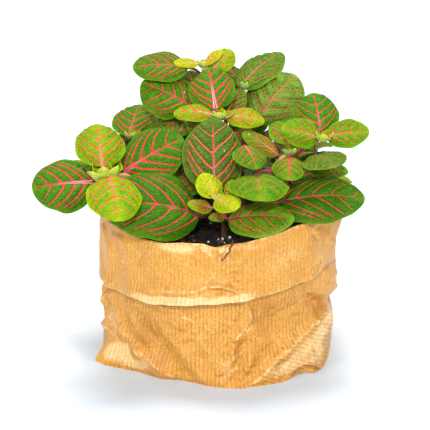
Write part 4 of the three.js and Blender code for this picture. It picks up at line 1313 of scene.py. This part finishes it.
def build_pot():
    """A thin moulded pot with a rolled rim, steps in its wall and drain holes in its floor."""
    columns = 120
    under_lip = POT_HEIGHT - POT_LIP
    slope = (POT_TOP_RADIUS - POT_FOOT_RADIUS) / under_lip
    outside = [(38, 2), (39.5, 2), (40, 0.3), (40.6, 0), (45.4, 0), (POT_FOOT_RADIUS, 0.4)]
    for height in np.linspace(3, under_lip - 1, 22):
        step = 0.25 * ((height // POT_STEP) % 2)
        outside.append((POT_FOOT_RADIUS + slope * height - step, height))
    rim = [
        (POT_TOP_RADIUS, under_lip), (POT_RIM_RADIUS - 0.3, under_lip), (POT_RIM_RADIUS, under_lip + 0.4),
        (POT_RIM_RADIUS, POT_HEIGHT - 0.6), (POT_RIM_RADIUS - 0.3, POT_HEIGHT - 0.1),
        (POT_RIM_RADIUS - 0.8, POT_HEIGHT),
    ]
    floor = 2 + POT_WALL
    inside = [
        (POT_RIM_RADIUS - 1.3, POT_HEIGHT - 0.3), (POT_RIM_RADIUS - 1.4, POT_HEIGHT - 0.9),
        (POT_TOP_RADIUS - 0.8, under_lip + 1.1), (POT_TOP_RADIUS - 1.3, under_lip - 0.5),
        (POT_FOOT_RADIUS - POT_WALL, floor),
    ]
    profile = [(4, 2), (20, 2), *outside, *rim, *inside, (20, floor), (4, floor)]
    body = Body()
    body.add(np.concatenate(circles(profile, columns)) + [0, 0, POT_FOOT], ring_faces(len(profile), columns))
    pot = body.make("moulded_pot", [black_plastic()], "nursery_pot", sharp=35)

    drills = Body()
    for i in range(DRAIN_HOLES):
        x, y = (DRAIN_CIRCLE * part for part in turned(360 / DRAIN_HOLES * (i + 0.5)))
        drills.add(*tube([(x, y, z) for z in (-1, 2, 5, 8)], DRAIN_RADIUS, 24))
    cutter = placed("drills", drills.mesh("drills"))
    cut = pot.modifiers.new("drain_holes", "BOOLEAN")
    cut.operation = "DIFFERENCE"
    cut.object = cutter
    seen = pot.evaluated_get(bpy.context.evaluated_depsgraph_get())
    holed = bpy.data.meshes.new_from_object(seen)
    pot.modifiers.clear()
    pot.data = holed
    bpy.data.objects.remove(cutter)
    return pot


def dark_mix():
    """Damp potting mix: near black, with brown fibres."""
    shader = Shader("dark_mix", IOR=1.4)
    lumps, grit = shader.noise(2.2, 5.0), shader.noise(0.7, 3.0)
    browns = ((0.3, (12, 9, 8)), (0.5, (30, 22, 17)), (0.66, (52, 38, 28)), (0.8, (92, 70, 52)))
    colour = shader.ramp(lumps, *browns)
    shader.relief(shader.scaled(grit, 0.6, lumps), 1.0)
    return shader.finish(colour, shader.between(grit, 0.3, 0.7, 0.7, 0.95))


def crumb(name, dark, pale):
    """A loose bit in the mix: perlite or bark."""
    shader = Shader(name, IOR=1.4)
    patches = shader.noise(0.9, 3.0)
    shader.relief(patches, 0.3)
    colour = shader.mix(shader.between(patches, 0.3, 0.7), dark, pale)
    return shader.finish(colour, shader.between(patches, 0.3, 0.7, 0.65, 0.85))


def soil_height(x, y):
    """The soil's top as in the part's source, with clods and crumbs on it."""
    lumps = np.sin(0.31 * x + 1.3) * np.cos(0.27 * y - 0.4) + 0.6 * np.sin(0.17 * (x - y))
    height = SOIL_LEVEL + 1.1 * lumps - 0.0007 * (x * x + y * y)
    for cell, depth, seed in ((6, 1.0, 41), (2.6, 0.8, 42), (1.3, 0.5, 43)):
        height = height + depth * value_noise(x / cell + 32, y / cell + 32, seed)
    return height


def lump(rng, centre, size, flat):
    """A small uneven stone: a six-sided ball whose points are pushed about."""
    points, faces = tube([(0, 0, z) for z in (-1, -0.55, 0.2, 0.85, 1)], [0.3, 0.85, 1, 0.6, 0.2], 6)
    points = points * rng.uniform(0.75, 1.2, points.shape) * [1, 1, flat]
    cosine, sine = turned(rng.uniform(0, 360))
    tilt_cosine, tilt_sine = turned(rng.uniform(0, 60))
    turn = np.array([[cosine, -sine, 0], [sine, cosine, 0], [0, 0, 1]])
    tilt = np.array([[1, 0, 0], [0, tilt_cosine, -tilt_sine], [0, tilt_sine, tilt_cosine]])
    return points @ (turn @ tilt).T * size / 2 + np.array(centre), faces


# What lies loose on the mix: its material, how many there are, from which size to which, and how
# high they are for their width.
CRUMBS, PERLITE, BARK = range(3)
LOOSE = ((CRUMBS, 700, 0.8, 2.6, 0.8), (PERLITE, 40, 0.7, 1.7, 0.8), (BARK, 110, 1.2, 4.5, 0.35))
# Perlite that the photograph shows in the gap between the front leaves: place and size.
SHOWN_PERLITE = (
    (-10, -8, 2.0), (-5, -17, 1.6), (-1, -39, 1.5), (2, -42, 1.9), (6, -36, 1.8), (-6, -43, 1.3),
    (3, -46, 1.2),
)


def build_soil():
    """The potting mix down to the pot's floor, with crumbs, perlite and bark on top."""
    columns = 200
    inside_pot = [(2, 4.6), (44, 4.6), (53, 70)]
    on_top = [(share * SOIL_RADIUS, 0) for share in np.linspace(1, 0.012, 64)]
    rings = circles(inside_pot + on_top, columns)
    for ring in rings[len(inside_pot):]:
        ring[:, 2] = soil_height(ring[:, 0], ring[:, 1])
    body = Body()
    body.add(np.concatenate(rings), ring_faces(len(rings), columns))
    rng = random_for("soil")
    for slot, count, low, high, flat in LOOSE:
        for _ in range(count):
            radius, turn = SOIL_RADIUS * 0.97 * math.sqrt(rng.uniform()), rng.uniform(0, 360)
            x, y = (radius * part for part in turned(turn))
            size = rng.uniform(low, high)
            body.add(*lump(rng, (x, y, soil_height(x, y) + 0.2 * size), size, flat), slot)
    for x, y, size in SHOWN_PERLITE:
        body.add(*lump(rng, (x, y, soil_height(x, y) + 0.35 * size), size, 0.85), PERLITE)
    perlite = crumb("perlite", (196, 186, 158), (238, 232, 214))
    bark = crumb("bark", (58, 38, 26), (128, 92, 60))
    return body.make("soil", [dark_mix(), perlite, bark], "potting_mix", sharp=30)


def build_rootlet():
    """A thin dry root that has grown over the rim and hangs on the cuff."""
    steps = 40
    places = [
        (7, -52, 82), (7.6, -58, 85.4), (7.4, -63.0, 87.4), (6.8, -66.2, 86.4), (5.6, -67.1, 84.6),
        (5.6, -67.4, 83.0), (3.8, -67.6, 81.4), (3.1, -67.8, 79.8), (0.9, -67.8, 78.0),
    ]
    knobbly = 1 + 0.25 * value_noise(np.arange(steps + 1) * 0.5, 0.5, 5)
    radii = np.linspace(0.62, 0.34, steps + 1) * knobbly
    shader = Shader("dry_root", IOR=1.4)
    bark = shader.noise(1.2, 3.0)
    shader.relief(bark, 0.3)
    colour = shader.mix(bark, (44, 26, 20), (112, 78, 60))
    skin = shader.finish(colour, shader.between(bark, 0.3, 0.7, 0.6, 0.85))
    body = Body()
    body.add(*tube(line_through(places, steps), radii))
    return body.make("rootlet", [skin], "potting_mix")


build_bag()
build_pot()
build_soil()
build_rootlet()
front, back, skin, hair = leaf_front(), leaf_back(), stem_skin(), hair_white()
for each_shoot in SHOOTS:
    build_shoot(each_shoot, front, back, skin, hair)


# The stage
def build_floor():
    """The studio's pale floor."""
    wide = 4000
    body = Body()
    body.add([(-wide, -wide, 0), (wide, -wide, 0), (wide, wide, 0), (-wide, wide, 0)], [(0, 1, 2, 3)])
    floor = placed("floor", body.mesh("floor"))
    shader = Shader("pale_floor", Roughness=0.9)
    colour = shader.mix(shader.noise(400.0, 2.0), (208, 217, 226), (210, 219, 228))
    floor.data.materials.append(shader.finish(colour))


def soft_light(name, source, width, power):
    """A far light that comes from the direction of source and is width degrees across."""
    lamp = bpy.data.lights.new(name, "SUN")
    lamp.angle, lamp.energy = math.radians(width), power
    made = placed(name, lamp)
    made.location = source
    made.rotation_euler = (-Vector(source)).to_track_quat("-Z", "Y").to_euler()


def build_camera():
    """The photograph's view: from in front, looking down a little."""
    lens = bpy.data.cameras.new("camera")
    lens.lens, lens.sensor_width = CAMERA_LENS, 36
    lens.clip_start, lens.clip_end = 0.05, 20
    camera = placed("camera", lens)
    cosine, sine = turned(CAMERA_PITCH)
    x, y, z = CAMERA_TARGET
    place = (x, y - CAMERA_DISTANCE * cosine, z + CAMERA_DISTANCE * sine)
    camera.location = [part * MM for part in place]
    camera.rotation_euler = (math.radians(90 - CAMERA_PITCH), 0, 0)
    bpy.context.scene.camera = camera


world = bpy.data.worlds.new("studio")
world.use_nodes = True
background = world.node_tree.nodes["Background"]
background.inputs["Color"].default_value = (1, 1, 1, 1)
background.inputs["Strength"].default_value = 0.4
bpy.context.scene.world = world
bpy.context.scene.view_settings.view_transform = "Standard"
build_floor()
soft_light("top", (0.0, 0.34, 1.0), 24, 3.3)
soft_light("key", (-0.04, -0.81, 0.59), 8, 1.85)
soft_light("side", (0.8, -0.68, 0.42), 12, 0.95)
soft_light("fill", (-0.8, -0.6, 0.4), 12, 0.85)
build_camera()
